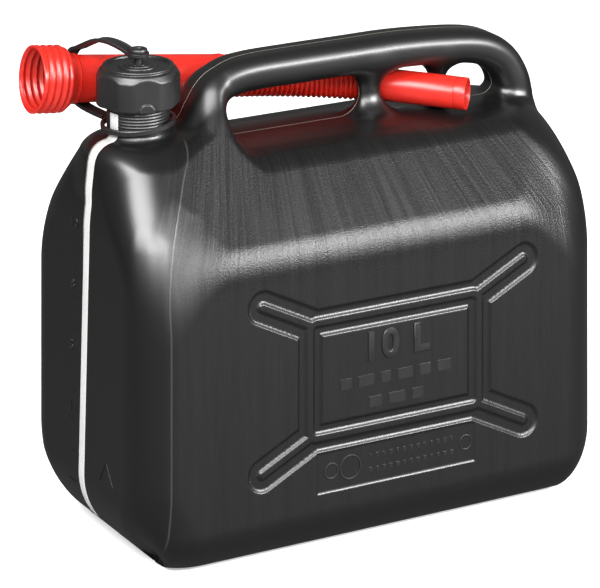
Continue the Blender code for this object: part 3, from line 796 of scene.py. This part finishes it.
def make_body():
    cell = 1.6
    low = (-END_X - 3, -SIDE_Y - 3, -3)
    high = (END_X + 3, SIDE_Y + 3, GRIP_TOP + 3)
    obj = field_object("can_shell", plain_field, low, high, cell)

    def near_relief(p):
        channel, rib, label = panel_edges(p[:, 0], p[:, 2])
        close = (np.abs(channel) < 2.2) | ((np.abs(rib) < 2.2) & (channel < 2)) | (np.abs(label) < 1.8)
        return close & (np.abs(p[:, 1]) > 79) & (p[:, 2] < 172) & (p[:, 2] > 30)

    refine(obj, near_relief, 3)
    settle(obj, body_field)
    return obj


def on_end_wall(y, z):
    """Where lines along X at y and z first meet the can, coming from the neck's end."""
    y, z = np.asarray(y, float), np.asarray(z, float)
    far = np.full(y.shape, -END_X - 1.0)
    open_air = np.ones(y.shape, bool)
    for x in np.arange(-END_X - 1.0, NECK[0], 0.5):
        far = np.where(open_air, x, far)
        open_air &= sleeved_field(np.column_stack([far, y, z])) > 0
    near = far - 0.5
    for _ in range(16):
        middle = (near + far) / 2
        outside = sleeved_field(np.column_stack([middle, y, z])) > 0
        near = np.where(outside, middle, near)
        far = np.where(outside, far, middle)
    return np.column_stack([(near + far) / 2, y, z])


def slope_of(field, points, step=0.3):
    """Unit outward directions of a field at points."""
    out = np.empty_like(points)
    for k in range(3):
        shift = np.zeros(3)
        shift[k] = step
        out[:, k] = field(points + shift) - field(points - shift)
    return out / np.linalg.norm(out, axis=1)[:, None]


def stripe_middle(z):
    """The stripe's centre line drifts towards the back on its way down."""
    gone = np.clip((STRIPE_BEND_Z - z) / STRIPE_BEND_Z, 0, 1)
    return STRIPE_TOP_Y + (STRIPE_FOOT_Y - STRIPE_TOP_Y) * gone


def sleeved_field(p):
    """The can with the outside of its neck sleeve."""
    r = np.hypot(p[:, 0] - NECK[0], p[:, 1] - NECK[1])
    sleeve = np.maximum(np.maximum(r - NECK_R - 0.18, p[:, 2] - NECK_TOP), SLEEVE_FOOT - p[:, 2])
    return np.minimum(plain_field(p), sleeve)


def make_stripe():
    """Sight stripe let into the end wall and the neck, just proud of them, with soft edges."""
    heights = np.linspace(STRIPE_TOP_Z, STRIPE_END_Z, 700)
    line = on_end_wall(stripe_middle(heights), heights)
    gone = np.concatenate([[0], np.cumsum(np.linalg.norm(np.diff(line, axis=0), axis=1))])
    steps = 220
    spots = np.linspace(0, gone[-1], steps)
    line = np.column_stack([np.interp(spots, gone, line[:, k]) for k in range(3)])
    across = np.array([-1.0, -0.97, -0.88, -0.6, 0.0, 0.6, 0.88, 0.97, 1.0])
    lift = np.array([-0.7, -0.05, 0.14, 0.2, 0.22, 0.2, 0.14, -0.05, -0.7])
    wall = np.repeat(line, len(across), axis=0)
    wall[:, 1] += np.tile(across, steps) * STRIPE_HALF
    wall = project(wall, sleeved_field, 8)
    out = slope_of(sleeved_field, wall)
    end = np.ones(steps)
    end[[0, -1]] = 0
    proud = (np.tile(lift, steps) + 0.7) * np.repeat(end, len(across)) - 0.7
    outer = (wall + out * proud[:, None]).reshape(steps, -1, 3)
    inner = (wall - out * 1.3).reshape(steps, -1, 3)[:, ::-1]
    return closed_loft("sight_stripe", np.concatenate([outer, inner], axis=1), 50, hollow=False)


def make_neck_sleeve():
    """The neck's outside: fine rings low down, one coarse thread under the cap, a rolled rim."""
    angles = circle(96)
    outer = []
    for z in np.arange(SLEEVE_FOOT, NECK_TOP - 0.8, 0.3):
        ringed = smooth(256, 258, z) * (1 - smooth(268, 270, z))
        fine = 0.16 * math.sin(2 * math.pi * (z - 256) / RING_PITCH) * ringed
        laps = (z - THREAD_START) / THREAD_LEAD
        turn = (laps - angles / (2 * math.pi) + 0.5) % 1 - 0.5
        run = smooth(0.0, 0.25, laps) * (1 - smooth(1.5, 1.75, laps))
        crest = smooth(0.8, 0.3, np.abs(turn) * THREAD_LEAD) * 1.1 * run
        outer.append((NECK_R + fine + crest, z))
    rim = [(NECK_R - 0.25, NECK_TOP - 0.25), (NECK_R - 0.8, NECK_TOP), (NECK_BORE_R + 0.6, NECK_TOP),
           (NECK_BORE_R, NECK_TOP - 0.6), (NECK_BORE_R, BORE_FOOT), (NECK_R - 0.6, SLEEVE_FOOT)]
    return closed_loft("neck_sleeve", flat_rings(outer + rim, NECK, angles), 40)


def wall_text(name, words, size, thick, matrix, spread=1.0, rim=0.12, bold=0.0):
    """Raised lettering as a mesh, with its face standing along the matrix's Z."""
    curve = bpy.data.curves.new(name, "FONT")
    curve.body = words
    curve.size = size
    curve.extrude = thick
    curve.bevel_depth = rim
    curve.bevel_resolution = 2
    curve.offset = bold
    curve.space_character = spread
    curve.align_x = curve.align_y = "CENTER"
    curve.resolution_u = 6
    holder = linked(name + "_curve", curve)
    bpy.context.view_layer.update()
    graph = bpy.context.evaluated_depsgraph_get()
    mesh = bpy.data.meshes.new_from_object(holder.evaluated_get(graph))
    bpy.data.objects.remove(holder, do_unlink=True)
    bpy.data.curves.remove(curve)
    mesh.transform(TO_METRES @ matrix)
    return mesh


def axes_matrix(right, up, out, place):
    matrix = Matrix.Identity(4)
    for k, axis in enumerate((right, up, out, Vector(place))):
        matrix[0][k], matrix[1][k], matrix[2][k] = axis
    return matrix


def facing(place, right):
    """A frame on a wall: X runs right, Y upwards and Z towards the viewer."""
    right, up = Vector(right), Vector((0, 0, 1))
    return axes_matrix(right, up, right.cross(up), place)


def bar_mesh(length, width, proud, matrix):
    """A low bar with sloping sides, rooted in the wall behind it."""
    bm = bmesh.new()
    bmesh.ops.create_cube(bm, size=1.0)
    for v in bm.verts:
        top = v.co.z > 0
        shrink = 0.25 if top else 0.0
        v.co.x = math.copysign(length / 2 - shrink, v.co.x)
        v.co.y = math.copysign(width / 2 - shrink, v.co.y)
        v.co.z = proud if top else -1.2
    bmesh.ops.bevel(bm, geom=bm.edges[:], offset=min(0.4, proud, width / 3), segments=3, affect="EDGES")
    mesh = bpy.data.meshes.new("bar")
    bm.to_mesh(mesh)
    bm.free()
    mesh.transform(TO_METRES @ matrix)
    return mesh


def ring_mesh(radius, width, proud, matrix):
    """A low round rib, rooted in the wall behind it."""
    section = [(radius - width / 2, -1.2), (radius - width / 2 + 0.1, proud - 0.1), (radius - 0.15, proud),
               (radius + 0.15, proud), (radius + width / 2 - 0.1, proud - 0.1), (radius + width / 2, -1.2)]
    points, faces = loft(flat_rings(section, (0, 0), circle(48)), hollow=True)
    mesh = bpy.data.meshes.new("ring")
    mesh.from_pydata(points.tolist(), [], faces)
    mesh.transform(TO_METRES @ matrix)
    return mesh


def gather(name, meshes):
    """One smooth-shaded object made of several meshes."""
    bm = bmesh.new()
    for mesh in meshes:
        bm.from_mesh(mesh)
        bpy.data.meshes.remove(mesh)
    bmesh.ops.remove_doubles(bm, verts=bm.verts, dist=1e-7)
    bmesh.ops.recalc_face_normals(bm, faces=bm.faces)
    whole = bpy.data.meshes.new(name)
    bm.to_mesh(whole)
    bm.free()
    return linked(name, shade(whole, 30))


def make_litre_marks():
    """Ticks at each litre beside the stripe, even litres numbered, and a moulded arrowhead."""
    right = (0, -1, 0)
    meshes = []
    for i in range(9):
        z = LITRE_TOP - i * LITRE_STEP
        long = i % 2 == 0
        start = stripe_middle(z) + STRIPE_HALF + 4.6
        length = 12.0 if long else 7.4
        x = on_end_wall([start + length / 2], [z])[0, 0]
        meshes.append(bar_mesh(length, 1.0, 0.45, facing((x, start + length / 2, z), right)))
        if long:
            place = (x + 0.1, start + 8.5, z + 7.6)
            meshes.append(wall_text("litres", str(10 - i), 9.0, 0.45, facing(place, right), 1.1))
    for y, z, lean in ((-27.2, 55.6, 33.0), (-36.5, 55.6, -36.0)):
        x = on_end_wall([y], [z])[0, 0]
        turn = Matrix.Rotation(math.radians(90 - lean), 4, "Z")
        meshes.append(bar_mesh(16.0, 0.9, 0.4, facing((x, y, z), right) @ turn))
    return gather("litre_marks", meshes)


def make_front_marks():
    """Raised volume mark and plain filler bars on the front panel and its label."""
    right = (1, 0, 0)
    wall = -SIDE_Y
    inset = wall + 0.55
    volume = facing((PANEL_X, wall, PANEL_Z + 14), right)
    meshes = [wall_text("volume", "10 L", 24.0, 0.3, volume, 1.15, 0.55, 0.55)]
    for z, lengths in ((PANEL_Z - 5.5, (9, 12, 8, 12, 9, 11)), (PANEL_Z - 19.5, (10, 13, 9))):
        at = PANEL_X - (sum(lengths) + 4.0 * (len(lengths) - 1)) / 2
        for length in lengths:
            meshes.append(bar_mesh(length, 7.5, 0.5, facing((at + length / 2, wall, z), right)))
            at += length + 4.0
    for x, radius in ((-36.0, 4.6), (-22.5, 7.2)):
        meshes.append(ring_mesh(radius, 1.2, 0.45, facing((x, inset, 50.0), right)))
    for row, z in enumerate((54.3, 45.8)):
        for i in range(13):
            length = 2.4 + 1.1 * ((i * 5 + row * 3) % 4) / 3
            x = -8.0 + i * 4.9
            meshes.append(bar_mesh(length, 3.6, 0.4, facing((x, inset, z), right)))
    meshes.append(ring_mesh(4.4, 1.0, 0.4, facing((61.0, inset, 50.0), right)))
    return gather("front_marks", meshes)


# ---- cap, stud and strap

def cap_field(p):
    """Six-sided cap: turned top with steps and a recess, facets whose upper ends are arcs."""
    x, y = p[:, 0] - NECK[0], p[:, 1] - NECK[1]
    z = p[:, 2] - CAP_BASE
    r = np.hypot(x, y)
    around = np.arctan2(y, x) - math.radians(CAP_CORNER_AT)
    sector = (around + math.pi / 6) % (math.pi / 3) - math.pi / 6
    flat = r * np.cos(math.pi / 6 - np.abs(sector)) - CAP_FLAT_HALF
    drum = r - CAP_R
    side = round_max(flat, drum, 0.5)
    cone = (r - CAP_R) * 0.874 + (z - 17.4) * 0.486
    side = round_max(side, cone, 0.35)
    side = round_max(side, z - CAP_SHOULDER, 0.8)
    skirt = round_max(side, -z, 0.7)
    disc = round_max(r - CAP_DISC[0], z - CAP_DISC[1], 0.9)
    recess = round_max(r - CAP_RECESS[0], CAP_RECESS[1] - z, 0.5)
    top = round_max(disc, -recess, 0.7)
    for radius, height, edge in CAP_STEPS:
        top = np.minimum(top, round_max(r - radius, z - height, edge))
    top = np.maximum(top, 15.0 - z)
    shape = round_min(skirt, top, 0.6)
    mark = math.radians(CAP_CORNER_AT + 210)
    along = x * math.cos(mark) + y * math.sin(mark)
    across = -x * math.sin(mark) + y * math.cos(mark)
    moon = round_max(np.hypot(across, z) - 5.0, along - CAP_FLAT_HALF - 0.9, 0.4)
    moon = np.maximum(np.maximum(moon, 20 - along), -z)
    shape = round_min(shape, moon, 0.35)
    bore = np.maximum(r - CAP_BORE_R, z - (NECK_TOP + 2.1 - CAP_BASE))
    hole = np.maximum(r - 2.9, 22.1 - z)
    return np.maximum(shape, -np.minimum(bore, hole))


def make_cap():
    cell = 0.42
    low = (NECK[0] - CAP_R - 1, NECK[1] - CAP_R - 1, CAP_BASE - 1)
    high = (NECK[0] + CAP_R + 1, NECK[1] + CAP_R + 1, CAP_BASE + 26.5)
    return field_object("screw_cap", cap_field, low, high, cell, 38)


def make_stud():
    """Rivet-like stud: a pin and a dished head with a small pip."""
    low, high = (np.array(corner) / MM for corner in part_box("tether_stud"))
    pin, head = 2.6, 5.9
    under = high[2] - 2.4
    top = high[2]
    profile = [(0, low[2]), (pin - 0.4, low[2]), (pin, low[2] + 0.4), (pin, under), (head - 0.3, under),
               (head, under + 0.4), (head, top - 0.9), (head - 0.3, top - 0.3), (head - 0.9, top),
               (3.9, top), (3.4, top - 0.3), (3.0, top - 0.9), (1.8, top - 0.9), (1.5, top - 0.6),
               (0, top - 0.5)]
    rings = flat_rings([(max(r, 0.01), h) for r, h in profile], NECK, circle(64))
    return closed_loft("strap_stud", rings, 30, hollow=False)


STRAP_LINE = (
    # centre line, then the way the band's outer face looks
    (-130.0, 4.0, 299.5, 0, 0, 1), (-132.5, 12, 301.9, 0, -0.2, 1), (-136, 22, 303.4, 0, 0, 1),
    (-139, 32, 302.4, 0, 0.25, 1), (-141, 42, 298.2, 0, 0.4, 0.9), (-142, 52, 293.6, 0, 0.35, 0.95),
    (-142, 61, 290, 0, 0.6, 0.8), (-142, 67, 283.5, 0, 0.95, 0.3), (-142, 68, 275, 0, 1, 0),
    (-142, 66, 266.5, 0, 0.93, -0.35), (-142, 59.5, 260, 0, 0.6, -0.8), (-141.5, 50, 257.6, 0, 0, -1),
    (-140.5, 40, 256.8, 0, 0, -1), (-139.5, 30, 256.6, 0, 0, -1), (-138.2, 21.5, 256.4, 0, 0, -1),
)


def strap_section():
    """Half outline of the band: flat, with a low rib along each edge."""
    half_w, half_t = 4.0, 1.0
    rib, web = half_t * 1.25, half_t * 0.8
    top = [(-half_w, 0.0), (-half_w, half_t * 0.9), (-half_w + 0.3, rib), (-half_w + 0.9, rib),
           (-half_w + 1.3, web), (0.0, web)]
    top += [(-a, b) for a, b in top[-2::-1]]
    return top + [(a, -b) for a, b in top[-2:0:-1]]


def strap_band():
    """The band, swept along its line with its outer face turned as the line says."""
    line = smooth_line(STRAP_LINE, 8)
    places, faces_out = line[:, :3], line[:, 3:]
    tangents = np.gradient(places, axis=0)
    tangents /= np.linalg.norm(tangents, axis=1)[:, None]
    section = strap_section()
    rings = []
    for place, tangent, out in zip(places, tangents, faces_out):
        out = unit(out - tangent * (out @ tangent))
        side = np.cross(tangent, out)
        rings.append([place + side * a + out * b for a, b in section])
    return closed_loft("strap_band", rings, 35, hollow=False)


def make_strap():
    """Loose ring round the neck, band round the stowed spout and eyelet under the stud."""
    angles = circle(80)
    tilt = math.radians(RING_TILT)
    profile = [(21.3, -1.2), (21.6, -1.7), (23.3, -1.7), (23.7, -1.2), (23.7, 1.2), (23.3, 1.7),
               (21.6, 1.7), (21.3, 1.2)]
    rings = []
    for x, y, h in (ring.T for ring in flat_rings(profile, (0, 0), angles)):
        rings.append(np.column_stack([
            NECK[0] + x * math.cos(tilt) + h * math.sin(tilt), NECK[1] + y,
            RING_Z - x * math.sin(tilt) + h * math.cos(tilt),
        ]))
    profile = [(2.9, -1.0), (3.1, -1.2), (6.6, -1.2), (7.0, -0.8), (7.0, 0.8), (6.6, 1.2), (3.1, 1.2),
               (2.9, 1.0)]
    eyelet = flat_rings([(r, EYELET_Z + h) for r, h in profile], NECK, angles)
    parts = (strap_band(), closed_loft("strap_ring", rings, 35), closed_loft("strap_eyelet", eyelet, 35))
    copies = [part.data.copy() for part in parts]
    for part in parts:
        bpy.data.objects.remove(part, do_unlink=True)
    return gather("cap_strap", copies)


# ---- spout

def make_collar():
    """Screw collar with a moulded thread that shows inside and out, and a cone to the tube."""
    length = np.linalg.norm(COLLAR_END - COLLAR_START)
    angles = circle(128)
    spokes = spokes_round(TUBE_WAY, angles)
    cone = length - COLLAR_CONE

    def ring(s, depth):
        """The ring at s, at a depth in the wall; the lip keeps the radius it starts with."""
        at = max(s, COLLAR_LIP)
        laps = (at - 1.8) / COLLAR_PITCH
        wave = ((1 + np.cos(2 * math.pi * laps - angles)) / 2) ** 0.55
        fade = smooth(0.6, 2.2, at) * (1 - smooth(cone - 0.5, cone + 2.5, at))
        base = COLLAR_R - COLLAR_WAVE * (1 - wave) * fade
        narrowing = smooth(cone - 2.0, length - 1.0, at)
        radius = base + (TUBE_FOOT_R - COLLAR_R) * narrowing - depth
        return COLLAR_START + TUBE_WAY * s + spokes * radius[:, None]

    steps = np.linspace(COLLAR_LIP, length, 110)
    outer = [ring(s, 0.0) for s in steps]
    inner = [ring(s, 1.6) for s in steps[::-1]]
    lip = [ring(s, depth) for s, depth in ((0.1, 1.4), (0.0, 1.1), (0.0, 0.5), (0.1, 0.2))]
    return closed_loft("spout_thread", outer + inner + lip, 60)


def make_tube():
    """Tapering tube with a fine mould line along each side and a rounded lip at its far end."""
    length = np.linalg.norm(TUBE_END - TUBE_START)
    angles = circle(128)
    spokes = spokes_round(TUBE_WAY, angles)
    line = 0.14 * np.exp(-((np.cos(angles - MOULD_LINE_AT) ** 2 - 1) / 0.0022) ** 2)

    def ring(s, r, relief=0.0):
        return TUBE_START + TUBE_WAY * s + spokes * (r + line * relief)[:, None]

    steps = np.linspace(0, length, 40)
    outer = [ring(s, TUBE_R0 + (TUBE_R1 - TUBE_R0) * s / length
                  + 0.9 * (1 - smooth(0, 1.6, s)) + 0.35 * smooth(length - 3.2, length - 2.2, s), 1.0)
             for s in steps]
    end = [ring(length, TUBE_R1 + 0.35 - inset) for inset in (0.4, 1.2)]
    inner = [ring(s, TUBE_R0 - 1.6 + (TUBE_R1 - TUBE_R0) * s / length) for s in steps[::-1]]
    return closed_loft("spout_pipe", outer + end + inner, 50)


def bezier(corners, t):
    """Places along a Bezier curve and the ways it runs there."""
    t = np.asarray(t)[:, None]
    a, b, c, d = corners
    place = a * (1 - t) ** 3 + 3 * b * t * (1 - t) ** 2 + 3 * c * t * t * (1 - t) + d * t ** 3
    way = (b - a) * (1 - t) ** 2 + (c - b) * 2 * t * (1 - t) + (d - c) * t * t
    return place, way / np.linalg.norm(way, axis=1)[:, None]


def make_bellows():
    """Corrugated hose: rounded crests with narrow valleys, the same inside."""
    pull = np.linalg.norm(TIP_START - TUBE_END) * 0.352
    corners = (TUBE_END, TUBE_END + TUBE_WAY * pull, TIP_START - TIP_WAY * pull, TIP_START)
    fine, _ = bezier(corners, np.linspace(0, 1, 400))
    length = np.linalg.norm(np.diff(fine, axis=0), axis=1).sum()
    folds = round(length / BELLOWS_PITCH)
    t = np.linspace(0, 1, folds * 10 + 1)
    places, ways = bezier(corners, t)
    wave = ((1 - np.cos(2 * math.pi * folds * t)) / 2) ** 0.5
    base = TUBE_R1 + (BELLOWS_R1 - TUBE_R1) * t
    radii = base - BELLOWS_DEPTH * (1 - wave)
    angles = circle(64)
    outer, inner = [], []
    for place, way, radius in zip(places, ways, radii):
        spokes = spokes_round(way, angles)
        outer.append(place + spokes * radius)
        inner.append(place + spokes * (radius - BELLOWS_WALL))
    return closed_loft("spout_hose", outer + inner[::-1], 60)


def make_tip():
    """Outlet: rounded back end, straight wall, a fine ring line and a thin rim."""
    length = np.linalg.norm(TIP_END - TIP_START)
    # distance from the back end, then how far the outside and the inside lie within the radius
    back = ((0, 2.0, 3.0), (0.2, 1.2, 3.0), (0.9, 0.35, 2.6), (2.0, 0, 1.9), (12, 0, 1.6), (24, 0, 1.6))
    # the same, measured from the outlet end
    front = ((8.6, 0, 1.6), (8.3, 0.12, 1.6), (8.0, 0.3, 1.6), (7.7, 0.12, 1.5), (7.4, 0.05, 1.4),
             (4, 0.05, 1.3), (0.5, 0.05, 1.1), (0.15, 0.2, 0.95), (0, 0.45, 0.75))
    rows = list(back) + [(length - s, a, b) for s, a, b in front]
    profile = [(s, TIP_R - a) for s, a, _ in rows] + [(s, TIP_R - b) for s, _, b in rows[::-1]]
    spokes = spokes_round(TIP_WAY, circle(96))
    return closed_loft("spout_outlet", [TIP_START + TIP_WAY * s + spokes * r for s, r in profile], 30)


# ---- studio and assembly

BLACK_SLOT = "black_polyethylene"
RED_SLOT = "red_polyethylene"


def soft_box(name, place, target, along, size, power):
    """A rectangular lamp that faces target, with its long side along the given way."""
    lamp = bpy.data.lights.new(name, "AREA")
    lamp.shape = "RECTANGLE"
    lamp.size, lamp.size_y = size
    lamp.energy = power
    obj = linked(name, lamp)
    back = (Vector(place) - Vector(target)).normalized()
    long = Vector(along)
    long = (long - back * long.dot(back)).normalized()
    obj.matrix_world = axes_matrix(long, back.cross(long), back, place)
    obj.visible_camera = False


# Name, place, target, way of the long side, size and power
SOFT_BOXES = (
    ("front_box", (0.93, -1.57, 0.90), (0, -0.08, 0.19), (1, 0, 0), (1.15, 0.44), 72),
    ("corner_box", (-0.46, -1.70, 1.20), (0, -0.08, 0.19), (0.97, -0.26, 0), (1.4, 0.28), 40),
    ("neck_box", (-1.30, -0.78, 1.50), (-0.12, -0.05, 0.20), (-0.53, 0.85, 0), (1.5, 1.0), 84),
)
ROOM_STRENGTH = 0.8
ROOM_EXTRAS = (("Is Camera Ray", 0.15), ("Is Glossy Ray", -0.62))


def light_rig():
    """Soft boxes that draw the highlights along the eave, round its corner and down the neck's
    shoulder, then a pale room that the can mirrors only dimly, and the floor."""
    for row in SOFT_BOXES:
        soft_box(*row)
    world = bpy.data.worlds.new("studio")
    world.use_nodes = True
    tree = world.node_tree
    room = tree.nodes["Background"]
    room.inputs["Color"].default_value = (1, 1, 1, 1)
    path = tree.nodes.new("ShaderNodeLightPath")
    last = None
    for ray, extra in ROOM_EXTRAS:
        step = tree.nodes.new("ShaderNodeMath")
        step.operation = "MULTIPLY_ADD"
        tree.links.new(path.outputs[ray], step.inputs[0])
        step.inputs[1].default_value = extra
        step.inputs[2].default_value = ROOM_STRENGTH
        if last is not None:
            tree.links.new(last, step.inputs[2])
        last = step.outputs[0]
    tree.links.new(last, room.inputs["Strength"])
    bpy.context.scene.world = world
    bpy.context.scene.view_settings.view_transform = "Standard"
    bpy.ops.mesh.primitive_plane_add(size=30)
    floor = bpy.context.object
    floor.name = "floor"
    floor.data.materials.append(floor_material())


HERO_PLACE = (-1.1742, -2.0794, 0.9313)
HERO_HEADING = 29.2
HERO_LENS = 223.92
HERO_SHIFT = -2.09


def hero_camera():
    """Level telephoto camera whose shifted lens keeps the can's uprights parallel.

    The shift holds only at the camera's own place, so that turning views stay centred.
    """
    data = bpy.data.cameras.new("camera")
    data.sensor_width = 36
    data.lens = HERO_LENS
    data.clip_end = 100
    obj = linked("camera", data)
    obj.location = HERO_PLACE
    obj.rotation_euler = (math.pi / 2, 0, -math.radians(HERO_HEADING))
    bpy.context.scene.camera = obj
    driver = data.driver_add("shift_y").driver
    driver.type = "SCRIPTED"
    place = driver.variables.new()
    place.name = "x"
    place.type = "TRANSFORMS"
    place.targets[0].id = obj
    place.targets[0].transform_type = "LOC_X"
    driver.expression = f"{HERO_SHIFT} * max(0, 1 - 1000 * abs(x - {HERO_PLACE[0]}))"


def blended(obj, node):
    """Put a piece in place of a CAD node, with its place baked into its mesh and on no body."""
    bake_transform(obj)
    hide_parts(node)
    return obj


def build():
    black = body_material()
    trim = black_material("black_cap")
    red = red_material()
    # maker, body, the CAD node it stands for, finish and material slot
    riding = (
        (make_body, "can", "can_body", black, BLACK_SLOT),
        (make_stripe, "can", "level_stripe", stripe_material(), "sight_stripe"),
        (make_neck_sleeve, "can", None, trim, BLACK_SLOT),
        (make_litre_marks, "can", None, trim, BLACK_SLOT),
        (make_front_marks, "can", None, trim, BLACK_SLOT),
        (make_cap, "cap", "cap", trim, BLACK_SLOT),
        (make_stud, "cap_stud", "tether_stud", trim, BLACK_SLOT),
        (make_collar, "spout_base", "spout_collar", red, RED_SLOT),
        (make_tube, "spout_base", "spout_tube", red, RED_SLOT),
        (make_tip, "spout_end", "spout_tip", red, RED_SLOT),
    )
    for make, body, node, finish, slot in riding:
        obj = make()
        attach(obj, body)
        if node:
            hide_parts(node)
        paint(obj, finish)
    strap = blended(make_strap(), "tether_strap")
    paint(strap, black_material("black_strap", 900.0))
    hose = blended(make_bellows(), "spout_bellows")
    # painted light: the hose gets a brighter copy of the spout's red, so that it looks lit where the grip's shadow
    # falls on it
    hose_red_painted_light = red_material("red_bellows_painted_light", (0.46, 0.014, 0.007, 1), (0.54, 0.019, 0.010, 1))
    paint(hose, hose_red_painted_light)
    seal = frame["nodes"]["cap_seal"].data
    seal.materials.clear()
    seal.materials.append(black_material("seal_rubber", 1500.0, (0.6, 0.8), (0.03, 0.05), 0.0001))
    light_rig()
    hero_camera()


build()
